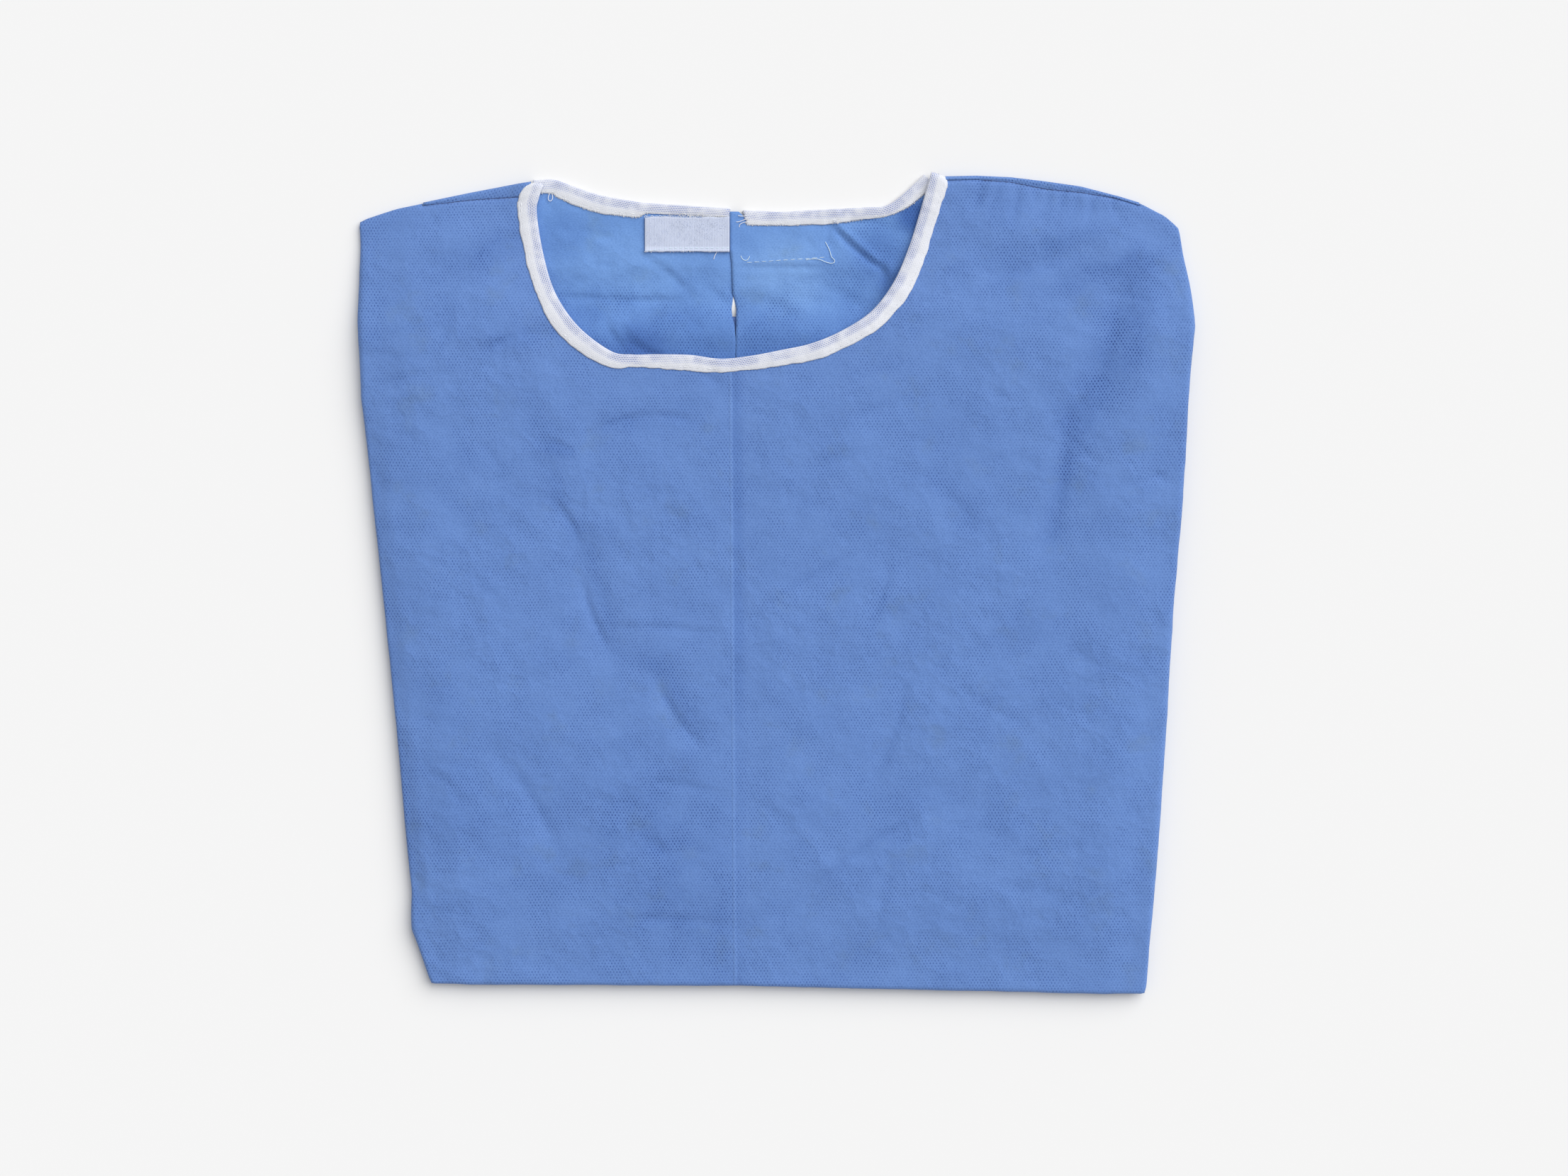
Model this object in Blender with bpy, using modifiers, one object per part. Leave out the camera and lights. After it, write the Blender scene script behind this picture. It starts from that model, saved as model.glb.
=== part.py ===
"""Visitor gown of light blue non-woven cloth, folded flat.

The front lies on top, from the neck down to the bottom fold. Through the neck hole the two back
panels show their inner side and the loop tape of the neck closure. Each back panel rolls over its
shoulder to the seam on the front. Sleeves, side wings and the two passes of the tail are folded
behind, and share one rounded solid that is layered at its edges.

Lengths are in millimetres until a point is placed. X runs across the gown, Y towards its neck and
Z up from the surface it lies on.
"""

import math
from collections import namedtuple

import bmesh
import bpy
import numpy as np
from mathutils import Vector

METRE = 0.001

# Cloth, seams and layers
WALL = 1.0
HALF = WALL / 2
SEAM_GAP = 0.3
LAY_GAP = 0.4
BACK_LIFT = HALF + LAY_GAP
BINDING_LEG = WALL + SEAM_GAP
BINDING_FLARE = 0.2
FRONT_LIFT = BINDING_LEG + WALL + LAY_GAP

# Heights of what lies under the back panels
PILE = 7.4
SLEEVE_PILE = 2.6
SIDE_PRESS = 1.0
BOTTOM_PRESS = 2.4
PILE_CLEAR = 0.3
TAIL_EDGE_SLACK = 0.35
BINDING_RAISE = 1.2
NECK_CORNER_RISE = 1.4
NECK_CORNER_REACH = 22.0
FRONT_NECK_PILE = 1.2
FRONT_SEAM_PILE = 0.3

# How far in from the sides, the bottom fold and the shoulders the pile reaches its full height
SIDE_FALL = (6.0, 30.0)
BOTTOM_FALL = (6.0, 70.0)
SLEEVE_FALL = (6.0, 30.0)
SLEEVE_SIDE_SHARE = 0.6

# Where the pile rises, along Y, and where the neck hole fades into the shoulders, along X
TAIL_FOOT, TAIL_TOP = 162.0, 138.0
SLEEVE_FOOT, SLEEVE_TOP = 185.0, 125.0
FRONT_FOOT, FRONT_TOP = 208.0, 134.0
SLEEVE_UNDER_FRONT = (190.0, 130.0)
RAISE_FOOT, RAISE_TOP = 170.0, 180.0
HOLE_LEFT, SHOULDER_LEFT = -140.0, -205.0
HOLE_RIGHT, SHOULDER_RIGHT = 84.0, 150.0
RAISE_LEFT = (-175.0, HOLE_LEFT)
RAISE_RIGHT = (125.0, 92.0)

# The front's rolled edge and its short way back underneath
ROLL_STEPS = 5
ROLL_RETURN = 2.5
RETURN_LOW, RETURN_HIGH = 0.9, 4.2
RETURN_FOOT, RETURN_TOP = 165.0, 120.0
SIDE_INSET_LOW, SIDE_INSET_HIGH = 2.6, 3.4
BOTTOM_INSET = 1.9

# The soft puff of the front between its edges and its creases
PUFF = 1.0
PUFF_EDGE, PUFF_FULL = 9.0, 36.0

# The pressed crease down the middle of the front, and the slit between the back panels
CREASE_TOP_X, CREASE_FOOT_X = -24.0, -21.8

# Ends of the front's top edge along X: at the neck on both sides, and at the right corner
LEFT_NECK_X, RIGHT_NECK_X, RIGHT_TOP_X = -141.0, 91.0, 226.6

# Ends of the stretches where the back panels roll over the shoulders
LEFT_ROLL = (-200.0, -143.2)
RIGHT_ROLL = (100.4, 206.0)
BACK_EDGE_INSET = 10.0
BACK_TOP_INSET = 8.0
BACK_EVEN_Y = 200.0
LEFT_CORNER_RUN, RIGHT_CORNER_RUN = 6.0, 18.0
ROLL_LEAD = 1.5
BACK_ROWS = (-214.0, -160.0, -106.0, -52.0, 0.0, 48.0, 84.0, 112.0, 130.0, 138.0, 143.0, 148.0, 153.0,
             158.0, 163.0, 170.0, 175.0, 180.0)
BACK_TOP_SHARES = (0.4, 1.0)

# Columns of the back panels beside their rolled stretch, along X at the top
LEFT_OUTER, LEFT_INNER = (-226.0, -213.0), (-136.0, -120.0, -100.0, -80.0, -60.0, -42.0, -25.5)
RIGHT_INNER, RIGHT_OUTER = (-25.0, -16.0, 4.0, 24.0, 44.0, 60.0, 72.0, 86.0), (219.5,)

# The solid of the folded layers
BLOCK_INSET = 9.0
SLEEVE_TOP_INSET = 24.0
TAIL_EDGE_Y = 150.0
NOTCH_LEFT = (-190.0, -180.0)
NOTCH_RIGHT = (134.0, 124.0)
LEAST_LOW_EDGE = 0.8
FOLDED_COLUMNS, FOLDED_ROWS, FOLDED_TOP_ROWS = 24, 15, 4
FOLDED_FEET = (-190.0, 200.0)
FOLDED_WIDEST_Y = 190.0
TAIL_SLACK_RUN = 10.0
EDGE_BULGE, EDGE_STEP, LEAST_EDGE = 0.9, 0.12, 0.3

SideRow = namedtuple("SideRow", "y left right")
SIDES = (
    SideRow(-232.4, -195.0, 210.6),
    SideRow(-226.2, -197.0, 211.4),
    SideRow(-207.0, -203.4, 212.6),
    SideRow(-195.4, -207.6, 213.4),
    SideRow(-175.0, -207.8, 214.6),
    SideRow(-143.0, -211.0, 217.0),
    SideRow(-79.0, -216.6, 221.4),
    SideRow(-15.0, -223.0, 225.0),
    SideRow(49.0, -229.8, 230.6),
    SideRow(105.0, -235.4, 233.8),
    SideRow(145.0, -235.8, 236.6),
    SideRow(169.0, -235.4, 233.8),
    SideRow(193.0, -236.0, 230.4),
    SideRow(204.0, -237.0, 228.6),
)

BottomRow = namedtuple("BottomRow", "x y")
BOTTOM = (
    BottomRow(-200.0, -226.4),
    BottomRow(-20.0, -227.2),
    BottomRow(65.0, -229.2),
    BottomRow(125.0, -230.4),
    BottomRow(212.0, -232.4),
)

# The top edge of each shoulder, and how far below it the shoulder seam runs
ShoulderRow = namedtuple("ShoulderRow", "x top seam_drop")
SHOULDERS = (
    ShoulderRow(-237.0, 204.6, 2.2),
    ShoulderRow(-231.4, 207.2, 2.2),
    ShoulderRow(-214.2, 212.7, 2.2),
    ShoulderRow(-200.0, 215.8, 2.6),
    ShoulderRow(-173.0, 221.4, 4.8),
    ShoulderRow(-145.0, 226.6, 8.4),
    ShoulderRow(-139.0, 227.5, 9.1),
    ShoulderRow(90.0, 230.4, 2.9),
    ShoulderRow(114.2, 231.0, 2.9),
    ShoulderRow(133.0, 230.2, 3.4),
    ShoulderRow(153.0, 227.8, 5.0),
    ShoulderRow(172.6, 225.0, 4.0),
    ShoulderRow(194.2, 219.4, 2.8),
    ShoulderRow(206.0, 215.8, 2.5),
    ShoulderRow(219.4, 209.0, 2.2),
    ShoulderRow(226.2, 203.0, 2.2),
    ShoulderRow(229.4, 198.6, 2.2),
)

# The neck edge: its fold line, the binding's width and how deep the cloth edge lies in it
NeckRow = namedtuple("NeckRow", "x y width cloth_in")
FRONT_NECK = (
    NeckRow(-131.6, 225.2, 10.4, 9.2),
    NeckRow(-134.2, 217.5, 10.6, 6.6),
    NeckRow(-135.4, 209.0, 10.4, 4.8),
    NeckRow(-131.6, 185.8, 9.9, 4.2),
    NeckRow(-124.6, 163.6, 10.0, 4.2),
    NeckRow(-111.4, 144.5, 10.8, 4.2),
    NeckRow(-93.1, 130.7, 9.0, 4.0),
    NeckRow(-80.9, 128.7, 6.6, 3.4),
    NeckRow(-68.9, 128.8, 7.8, 3.6),
    NeckRow(-48.7, 128.5, 8.8, 4.0),
    NeckRow(-31.3, 126.3, 7.6, 3.6),
    NeckRow(-14.1, 128.0, 7.8, 3.6),
    NeckRow(2.7, 131.2, 8.4, 3.8),
    NeckRow(20.1, 135.0, 9.2, 4.0),
    NeckRow(37.5, 142.3, 9.4, 4.0),
    NeckRow(54.1, 153.3, 10.0, 4.2),
    NeckRow(66.4, 169.4, 10.7, 4.4),
    NeckRow(74.8, 188.3, 10.6, 4.4),
    NeckRow(81.4, 209.0, 10.2, 4.2),
    NeckRow(88.0, 232.4, 11.0, 4.4),
)
LEFT_BACK_NECK = (
    NeckRow(-137.6, 228.2, 7.6, 3.6),
    NeckRow(-126.0, 228.4, 7.8, 3.6),
    NeckRow(-117.8, 225.8, 9.2, 4.0),
    NeckRow(-101.8, 220.2, 9.8, 4.0),
    NeckRow(-85.8, 217.0, 9.2, 4.0),
    NeckRow(-76.5, 215.6, 8.6, 4.0),
    NeckRow(-71.0, 215.0, 5.6, 4.0),
    NeckRow(-45.8, 213.4, 5.4, 4.0),
    NeckRow(-26.2, 212.2, 5.2, 4.0),
)
RIGHT_BACK_NECK = (
    NeckRow(-17.6, 211.2, 8.4, 4.0),
    NeckRow(2.2, 210.2, 7.6, 4.0),
    NeckRow(18.2, 211.0, 8.0, 4.0),
    NeckRow(34.2, 211.8, 8.0, 4.0),
    NeckRow(50.2, 212.6, 6.4, 3.6),
    NeckRow(62.0, 213.6, 5.6, 3.4),
    NeckRow(71.0, 218.6, 6.0, 3.4),
    NeckRow(82.0, 228.4, 6.2, 3.4),
)

# The slit down the middle of the back: the edges of its two panels
SlitRow = namedtuple("SlitRow", "y left right")
SLIT = (
    SlitRow(-232.0, -22.0, -21.6),
    SlitRow(133.0, -22.0, -21.6),
    SlitRow(149.5, -23.0, -22.2),
    SlitRow(155.5, -23.5, -22.1),
    SlitRow(161.0, -23.5, -22.8),
    SlitRow(177.0, -23.6, -23.2),
    SlitRow(212.5, -26.0, -25.6),
)

# Troughs of the front, each from one end to the other
FoldRow = namedtuple("FoldRow", "x1 y1 x2 y2 width depth")
FOLDS = (
    FoldRow(200.0, 171.0, 154.0, 25.0, 26.0, 1.5),
    FoldRow(178.0, 189.0, 126.0, 173.0, 22.0, 0.6),
    FoldRow(-100.0, 88.0, -48.0, 93.0, 22.0, 0.7),
    FoldRow(-118.0, 36.0, -94.0, -35.0, 20.0, 0.9),
    FoldRow(-66.0, -53.0, -44.0, -87.0, 20.0, 1.0),
    FoldRow(74.0, -50.0, 54.0, -119.0, 24.0, 0.8),
    FoldRow(10.0, -181.0, 98.0, -123.0, 26.0, 0.6),
    FoldRow(-18.0, -23.0, 58.0, 23.0, 26.0, 0.5),
    FoldRow(-154.0, -97.0, -122.0, -151.0, 24.0, 0.8),
    FoldRow(-92.0, -189.0, -28.0, -191.0, 24.0, 0.6),
    FoldRow(-223.0, 110.0, -198.0, -165.0, 16.0, 0.7),
    FoldRow(-16.0, 110.0, -14.0, -215.0, 18.0, 0.5),
)

# Columns of the front between named places of its top edge, with where they end at the bottom
Stretch = namedtuple("Stretch", "columns foot_from foot_to")
FRONT_STRETCHES = {
    "left_corner": Stretch(2, -193.6, -184.0),
    "left_shoulder": Stretch(4, -184.0, -160.0),
    "left_neck": Stretch(14, -160.0, CREASE_FOOT_X),
    "right_neck": Stretch(13, CREASE_FOOT_X, 112.0),
    "right_shoulder": Stretch(7, 112.0, 198.0),
    "right_corner": Stretch(2, 198.0, 207.2),
}
FRONT_ROWS = 22
FRONT_LAST_ROWS = (0.94, 0.976, 1.0)

# Outward reach of the folded layers' edge, by share of their height at the edge
EdgeRow = namedtuple("EdgeRow", "share layered plain")
LOW_EDGE = (
    EdgeRow(0.0, 5.9, 0.0),
    EdgeRow(0.25, 7.3, 1.0),
    EdgeRow(0.5, 5.9, 0.2),
    EdgeRow(0.75, 7.5, 1.0),
    EdgeRow(1.0, 6.0, 0.2),
)

LOOP_TAPE_BOX = (-74.2, -26.4, 186.8, 206.0)
HOOK_TAPE_BOX = (-19.0, 30.0, 181.5, 201.8)

CLOTH_BLUE = (0.142, 0.255, 0.577, 1.0)
CLOTH_SHADE = (0.118, 0.222, 0.520, 1.0)
BINDING_WHITE = (0.78, 0.80, 0.86, 1.0)
TAPE_WHITE = (0.60, 0.66, 0.80, 1.0)


def ramp(value, start, end):
    """Smooth step from 0 at start to 1 at end."""
    share = min(max((value - start) / (end - start), 0.0), 1.0)
    return share * share * (3.0 - 2.0 * share)


def mix(low, high, share):
    """Value between low and high."""
    return low + (high - low) * share


def lookup(rows, at, key, column):
    """Column of a table at a place between its rows."""
    keys = [getattr(row, key) for row in rows]
    values = [getattr(row, column) for row in rows]
    return float(np.interp(at, keys, values))


def side_x(y, side):
    """Outline of the left or right edge."""
    return lookup(SIDES, y, "y", side)


def bottom_y(x):
    """Outline of the bottom fold."""
    return lookup(BOTTOM, x, "x", "y")


def shoulder_y(x):
    """Outline of the shoulders' top edge."""
    return lookup(SHOULDERS, x, "x", "top")


def seam_y(x):
    """Shoulder seam, where front and back panel meet."""
    return shoulder_y(x) - lookup(SHOULDERS, x, "x", "seam_drop")


class NeckPath:
    """Smooth curve through the rows of a neck edge, read by distance along it."""

    SAMPLES = 16

    def __init__(self, rows):
        table = np.array(rows)
        table = np.vstack([2 * table[0] - table[1], table, 2 * table[-1] - table[-2]])
        points = []
        for i in range(1, len(table) - 2):
            for k in range(self.SAMPLES):
                points.append(self.between(table[i - 1:i + 3], k / self.SAMPLES))
        points.append(table[-2])
        self.points = np.array(points)
        steps = np.linalg.norm(np.diff(self.points[:, :2], axis=0), axis=1)
        self.along = np.concatenate([[0.0], np.cumsum(steps)])
        self.length = float(self.along[-1])

    @staticmethod
    def between(four, t):
        """Point of a Catmull-Rom curve between the middle two of four rows."""
        a, b, c, d = four
        return 0.5 * (2 * b + (c - a) * t + (2 * a - 5 * b + 4 * c - d) * t * t
                      + (3 * b - 3 * c + d - a) * t ** 3)

    def at(self, distance):
        """Fold line point, direction into the cloth, width and cloth depth."""
        x, y, width, cloth_in = (float(np.interp(distance, self.along, self.points[:, k]))
                                 for k in range(4))
        step = 1.0
        low, high = max(distance - step, 0.0), min(distance + step, self.length)
        ahead = Vector([float(np.interp(high, self.along, self.points[:, k])
                              - np.interp(low, self.along, self.points[:, k])) for k in (0, 1)])
        inward = Vector((ahead.y, -ahead.x)).normalized()
        return Vector((x, y)), inward, width, cloth_in

    def cloth_edge(self, distance):
        """Point of the cloth edge inside the binding."""
        fold, inward, _width, cloth_in = self.at(distance)
        return fold + inward * cloth_in

    def clear_of(self, x, y):
        """Distance of a point from the fold line."""
        return float(np.min(np.hypot(self.points[:, 0] - x, self.points[:, 1] - y)))


FRONT_PATH = NeckPath(FRONT_NECK)
LEFT_BACK_PATH = NeckPath(LEFT_BACK_NECK)
RIGHT_BACK_PATH = NeckPath(RIGHT_BACK_NECK)


def hole_share(x):
    """1 across the neck hole, fading to 0 on the shoulders."""
    return ramp(x, SHOULDER_LEFT, HOLE_LEFT) * ramp(x, SHOULDER_RIGHT, HOLE_RIGHT)


def side_fall(x, y):
    """0 at the side edges, rising to 1 inside them."""
    inside = min(x - side_x(y, "left"), side_x(y, "right") - x)
    return ramp(inside, *SIDE_FALL)


def pressed_pile(x, y):
    """Height of the full pile, pressed thinner towards the sides and the bottom fold."""
    press = SIDE_PRESS * (1.0 - side_fall(x, y))
    press += BOTTOM_PRESS * (1.0 - ramp(y - bottom_y(x), *BOTTOM_FALL))
    return PILE - press


def sleeve_share(x, y):
    """1 over the folded sleeves, falling to 0 at the shoulders' top edge."""
    share = mix(SLEEVE_SIDE_SHARE, 1.0, side_fall(x, y))
    return ramp(shoulder_y(x) - y, *SLEEVE_FALL) * share


def back_pile(x, y):
    """Height of what the back panels lie on."""
    full = pressed_pile(x, y)
    centre = full * ramp(y, TAIL_FOOT, TAIL_TOP)
    sleeve = SLEEVE_PILE * sleeve_share(x, y)
    side = mix(sleeve, full, ramp(y, SLEEVE_FOOT, SLEEVE_TOP))
    return mix(side, centre, hole_share(x))


def back_height(x, y):
    """Middle of the back panels' cloth, raised where the neck binding folds round it."""
    raised = ramp(y, RAISE_FOOT, RAISE_TOP) * ramp(x, *RAISE_LEFT) * ramp(x, *RAISE_RIGHT)
    return back_pile(x, y) + BACK_LIFT + BINDING_RAISE * raised


def neck_corner(x, y):
    """Rise of the front over the seams at the two ends of its neck edge."""
    near = min(math.hypot(x - end[0], y - end[1]) for end in (FRONT_NECK[0], FRONT_NECK[-1]))
    return NECK_CORNER_RISE * math.exp(-((near / NECK_CORNER_REACH) ** 2))


def fold_depth(x, y):
    """Depth of the front's troughs at a point."""
    depth = 0.0
    for fold in FOLDS:
        start, end = Vector((fold.x1, fold.y1)), Vector((fold.x2, fold.y2))
        run = end - start
        share = min(max((Vector((x, y)) - start).dot(run) / run.length_squared, 0.0), 1.0)
        away = (Vector((x, y)) - start - run * share).length
        depth += fold.depth * math.exp(-((2.0 * away / fold.width) ** 2))
    return depth


def front_relief(x, y):
    """Puff and troughs of the front, fading out towards its edges."""
    inside = min(x - side_x(y, "left"), side_x(y, "right") - x, y - bottom_y(x),
                 shoulder_y(x) - y, FRONT_PATH.clear_of(x, y))
    return ramp(inside, PUFF_EDGE, PUFF_FULL) * (PUFF - fold_depth(x, y))


def front_height(x, y):
    """Middle of the front's cloth."""
    full = pressed_pile(x, y)
    centre = mix(FRONT_NECK_PILE, full, ramp(y, FRONT_FOOT, FRONT_TOP))
    shoulder = FRONT_SEAM_PILE + (SLEEVE_PILE - FRONT_SEAM_PILE) * sleeve_share(x, y)
    side = mix(shoulder, full, ramp(y, *SLEEVE_UNDER_FRONT))
    base = mix(side, centre, hole_share(x)) + BACK_LIFT + FRONT_LIFT
    return base + neck_corner(x, y) + front_relief(x, y)


def return_height(y):
    """Middle of the front's cloth where it has turned back under its rolled edge."""
    return mix(RETURN_LOW, RETURN_HIGH, ramp(y, RETURN_FOOT, RETURN_TOP))


def place(x, y, z):
    """Point in metres."""
    return Vector((x, y, z)) * METRE


def grid_patch(mesh, columns, rows, point_at):
    """Grid whose points go where point_at says; gives them back by column and row."""
    made = bmesh.ops.create_grid(mesh, x_segments=columns, y_segments=rows, size=0.5)
    points = {}
    for vert in made["verts"]:
        points[round((vert.co.x + 0.5) * columns), round((vert.co.y + 0.5) * rows)] = vert
    for (column, row), vert in points.items():
        vert.co = point_at(column, row)
    return points


def lengthen(mesh, line, next_places):
    """Carry a line of points on through more lines of places, joined by faces."""
    for places in next_places:
        after = [mesh.verts.new(co) for co in places]
        for k in range(len(line) - 1):
            mesh.faces.new((line[k], line[k + 1], after[k + 1], after[k]))
        line = after
    return line


def outward(points):
    """Outward direction at each point of a line that runs anticlockwise round the gown."""
    flat = [Vector(point[:2]) for point in points]
    sides = []
    for a, b in zip(flat, flat[1:]):
        run = (b - a).normalized()
        sides.append(Vector((run.y, -run.x)))
    middle = [(a + b).normalized() for a, b in zip(sides, sides[1:])]
    return [Vector((0.0, 1.0))] + middle + [Vector((0.0, 1.0))]


def material(name, colour, roughness):
    """Principled finish of one colour."""
    finish = bpy.data.materials.new(name)
    finish.use_nodes = True
    shader = finish.node_tree.nodes["Principled BSDF"]
    shader.inputs["Base Color"].default_value = colour
    shader.inputs["Roughness"].default_value = roughness
    shader.inputs["Metallic"].default_value = 0.0
    finish.diffuse_color = colour
    return finish


def add_object(name, mesh, finish, collection, wall=0.0):
    """Object from a bmesh; a wall turns an open surface into cloth of that thickness."""
    bmesh.ops.recalc_face_normals(mesh, faces=mesh.faces)
    data = bpy.data.meshes.new(name)
    mesh.to_mesh(data)
    mesh.free()
    data.shade_smooth()
    data.set_sharp_from_angle(angle=math.radians(50))
    data.materials.append(finish)
    piece = bpy.data.objects.new(name, data)
    collection.objects.link(piece)
    if wall:
        shell = piece.modifiers.new("wall", "SOLIDIFY")
        shell.thickness = wall * METRE
        shell.offset = 0.0
        shell.use_even_offset = True
        shell.use_quality_normals = True
    return piece


def neck_ends():
    """Distances along the neck where the front's cloth starts, meets its crease and ends."""
    edge = [(float(along), FRONT_PATH.cloth_edge(along)) for along in FRONT_PATH.along]
    start = next(along for along, point in edge if point.y < seam_y(LEFT_NECK_X))
    middle = next(along for along, point in edge if point.x > CREASE_TOP_X)
    end = next(along for along, point in edge if along > middle and point.y > seam_y(RIGHT_NECK_X))
    return start, middle, end


def steps(start, end, count):
    """Evenly spaced values, both ends included."""
    return [mix(start, end, k / count) for k in range(count + 1)]


def shoulder_columns(name):
    """Places along X of the columns of a shoulder, shared by front and back panel."""
    start, _middle, end = neck_ends()
    count = FRONT_STRETCHES[name].columns
    if name == "left_shoulder":
        return steps(LEFT_ROLL[0], FRONT_PATH.cloth_edge(start).x, count)
    return steps(FRONT_PATH.cloth_edge(end).x, RIGHT_ROLL[1], count)


def neck_columns(name):
    """Distances along the neck of the front's columns on one side of its crease."""
    start, middle, end = neck_ends()
    count = FRONT_STRETCHES[name].columns
    return steps(start, middle, count) if name == "left_neck" else steps(middle, end, count)


def front_top_points():
    """Top edge of the front, a point for each column, with the column's foot."""
    left_x = side_x(SIDES[-1].y, "left") + SIDE_INSET_LOW
    corners = {"left_corner": (left_x, LEFT_ROLL[0]), "right_corner": (RIGHT_ROLL[1], RIGHT_TOP_X)}
    tops, feet = [], []
    for name, stretch in FRONT_STRETCHES.items():
        if name.endswith("neck"):
            points = [FRONT_PATH.cloth_edge(distance) for distance in neck_columns(name)]
        else:
            places = (steps(*corners[name], stretch.columns) if name in corners
                      else shoulder_columns(name))
            points = [Vector((x, seam_y(x))) for x in places]
        tops = tops[:-1] + points
        feet = feet[:-1] + steps(stretch.foot_from, stretch.foot_to, stretch.columns)
    return tops, feet


def front_rows():
    """Shares of the way from the bottom fold to the top edge."""
    last = FRONT_LAST_ROWS[0]
    return [last * k / FRONT_ROWS for k in range(FRONT_ROWS)] + list(FRONT_LAST_ROWS)


def front_plan():
    """Plan points of the front, by column and row, between its four edges."""
    tops, feet = front_top_points()
    rows = front_rows()
    last_column = len(tops) - 1
    bottoms = [Vector((x, bottom_y(x) + BOTTOM_INSET)) for x in feet]

    def side_point(side, sign, low, high, row):
        y = mix(low.y, high.y, rows[row])
        inset = mix(SIDE_INSET_LOW, SIDE_INSET_HIGH, ramp(y, RETURN_FOOT, RETURN_TOP))
        bow = side_x(y, side) + sign * inset
        straight = mix(side_x(low.y, side), side_x(high.y, side), rows[row])
        straight += sign * mix(SIDE_INSET_HIGH, SIDE_INSET_LOW, rows[row])
        return Vector((mix(low.x, high.x, rows[row]) + bow - straight, y))

    plan = {}
    for row, v in enumerate(rows):
        left = side_point("left", 1.0, bottoms[0], tops[0], row)
        right = side_point("right", -1.0, bottoms[-1], tops[-1], row)
        left_shift = left - bottoms[0].lerp(tops[0], v)
        right_shift = right - bottoms[-1].lerp(tops[-1], v)
        for column in range(last_column + 1):
            u = column / last_column
            point = bottoms[column].lerp(tops[column], v)
            plan[column, row] = point + left_shift * (1.0 - u) + right_shift * u
    return plan, last_column, len(rows) - 1


def rolled_edge(line):
    """Lines of places that roll an edge over, down and a little way back under it."""
    sides = outward([vert.co for vert in line])
    lines = []
    for step in range(1, ROLL_STEPS + 2):
        turn = math.pi * min(step, ROLL_STEPS) / ROLL_STEPS
        places = []
        for vert, side in zip(line, sides):
            x, y, z = vert.co / METRE
            radius = (z - return_height(y)) / 2
            reach = radius * math.sin(turn) if step <= ROLL_STEPS else -ROLL_RETURN
            places.append(place(x + side.x * reach, y + side.y * reach,
                                z - radius * (1.0 - math.cos(turn))))
        lines.append(places)
    return lines


def build_front(collection, finish):
    """Front panel with its rolled sides, bottom fold and shoulder corners."""
    plan, columns, rows = front_plan()
    mesh = bmesh.new()

    def point_at(column, row):
        x, y = plan[column, row]
        return place(x, y, front_height(x, y))

    points = grid_patch(mesh, columns, rows, point_at)
    left_end = FRONT_STRETCHES["left_corner"].columns
    right_end = columns - FRONT_STRETCHES["right_corner"].columns
    line = [points[c, rows] for c in range(left_end, 0, -1)]
    line += [points[0, r] for r in range(rows, 0, -1)]
    line += [points[c, 0] for c in range(columns)]
    line += [points[columns, r] for r in range(rows)]
    line += [points[c, rows] for c in range(columns, right_end - 1, -1)]
    lengthen(mesh, line, rolled_edge(line))
    return add_object("front", mesh, finish, collection, WALL)


def back_top_y(x, path, corner_x):
    """Top of a back panel's flat part: below the shoulder's edge, or inside the neck binding."""
    on_shoulder = shoulder_y(x) - BACK_TOP_INSET
    edge = [path.cloth_edge(path.length * k / 40) for k in range(41)]
    in_binding = float(np.interp(x, [p.x for p in edge], [p.y for p in edge]))
    if corner_x < 0.0:
        return mix(on_shoulder, in_binding, ramp(x, corner_x, corner_x + LEFT_CORNER_RUN))
    return mix(in_binding, on_shoulder, ramp(x, corner_x - RIGHT_CORNER_RUN, corner_x))


def shoulder_roll(line):
    """Lines of places that carry a back panel over the shoulder's edge to its seam."""
    lines = []
    for step in range(-1, ROLL_STEPS + 2):
        places = []
        for vert in line:
            x = vert.co.x / METRE
            low = vert.co.z / METRE
            edge = shoulder_y(x)
            radius = (front_height(x, seam_y(x)) - low) / 2
            centre_y = edge - radius - HALF
            if step < 0:
                places.append(place(x, centre_y - ROLL_LEAD, low))
            elif step <= ROLL_STEPS:
                turn = math.pi * step / ROLL_STEPS
                reach = radius * math.sin(turn)
                places.append(place(x, centre_y + reach, low + radius * (1.0 - math.cos(turn))))
            else:
                end_y = seam_y(x) + SEAM_GAP
                places.append(place(x, end_y, front_height(x, end_y)))
        lines.append(places)
    return lines


def build_back(name, columns_x, path, roll, collection, finish):
    """Back panel: flat under the front and in the neck hole, rolled over its shoulder."""
    left_side = name == "back_left"
    corner_x = roll[1] if left_side else roll[0]
    mesh = bmesh.new()

    def edges(y):
        if left_side:
            return side_x(y, "left") + BACK_EDGE_INSET, lookup(SLIT, y, "y", "left")
        return lookup(SLIT, y, "y", "right"), side_x(y, "right") - BACK_EDGE_INSET

    reference = edges(BACK_EVEN_Y)

    def point_at(column, row):
        share = (columns_x[column] - reference[0]) / (reference[1] - reference[0])
        if row < len(BACK_ROWS):
            y = BACK_ROWS[row]
            x = mix(*edges(y), share)
        else:
            top = back_top_y(columns_x[column], path, corner_x)
            y = mix(BACK_ROWS[-1], top, BACK_TOP_SHARES[row - len(BACK_ROWS)])
            x = columns_x[column]
        return place(x, y, back_height(x, y))

    top_row = len(BACK_ROWS) + len(BACK_TOP_SHARES) - 1
    points = grid_patch(mesh, len(columns_x) - 1, top_row, point_at)
    on_roll = [k for k, x in enumerate(columns_x) if roll[0] - 0.01 <= x <= roll[1] + 0.01]
    line = [points[k, top_row] for k in on_roll]
    lengthen(mesh, line, shoulder_roll(line))
    return add_object(name, mesh, finish, collection, WALL)


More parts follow.
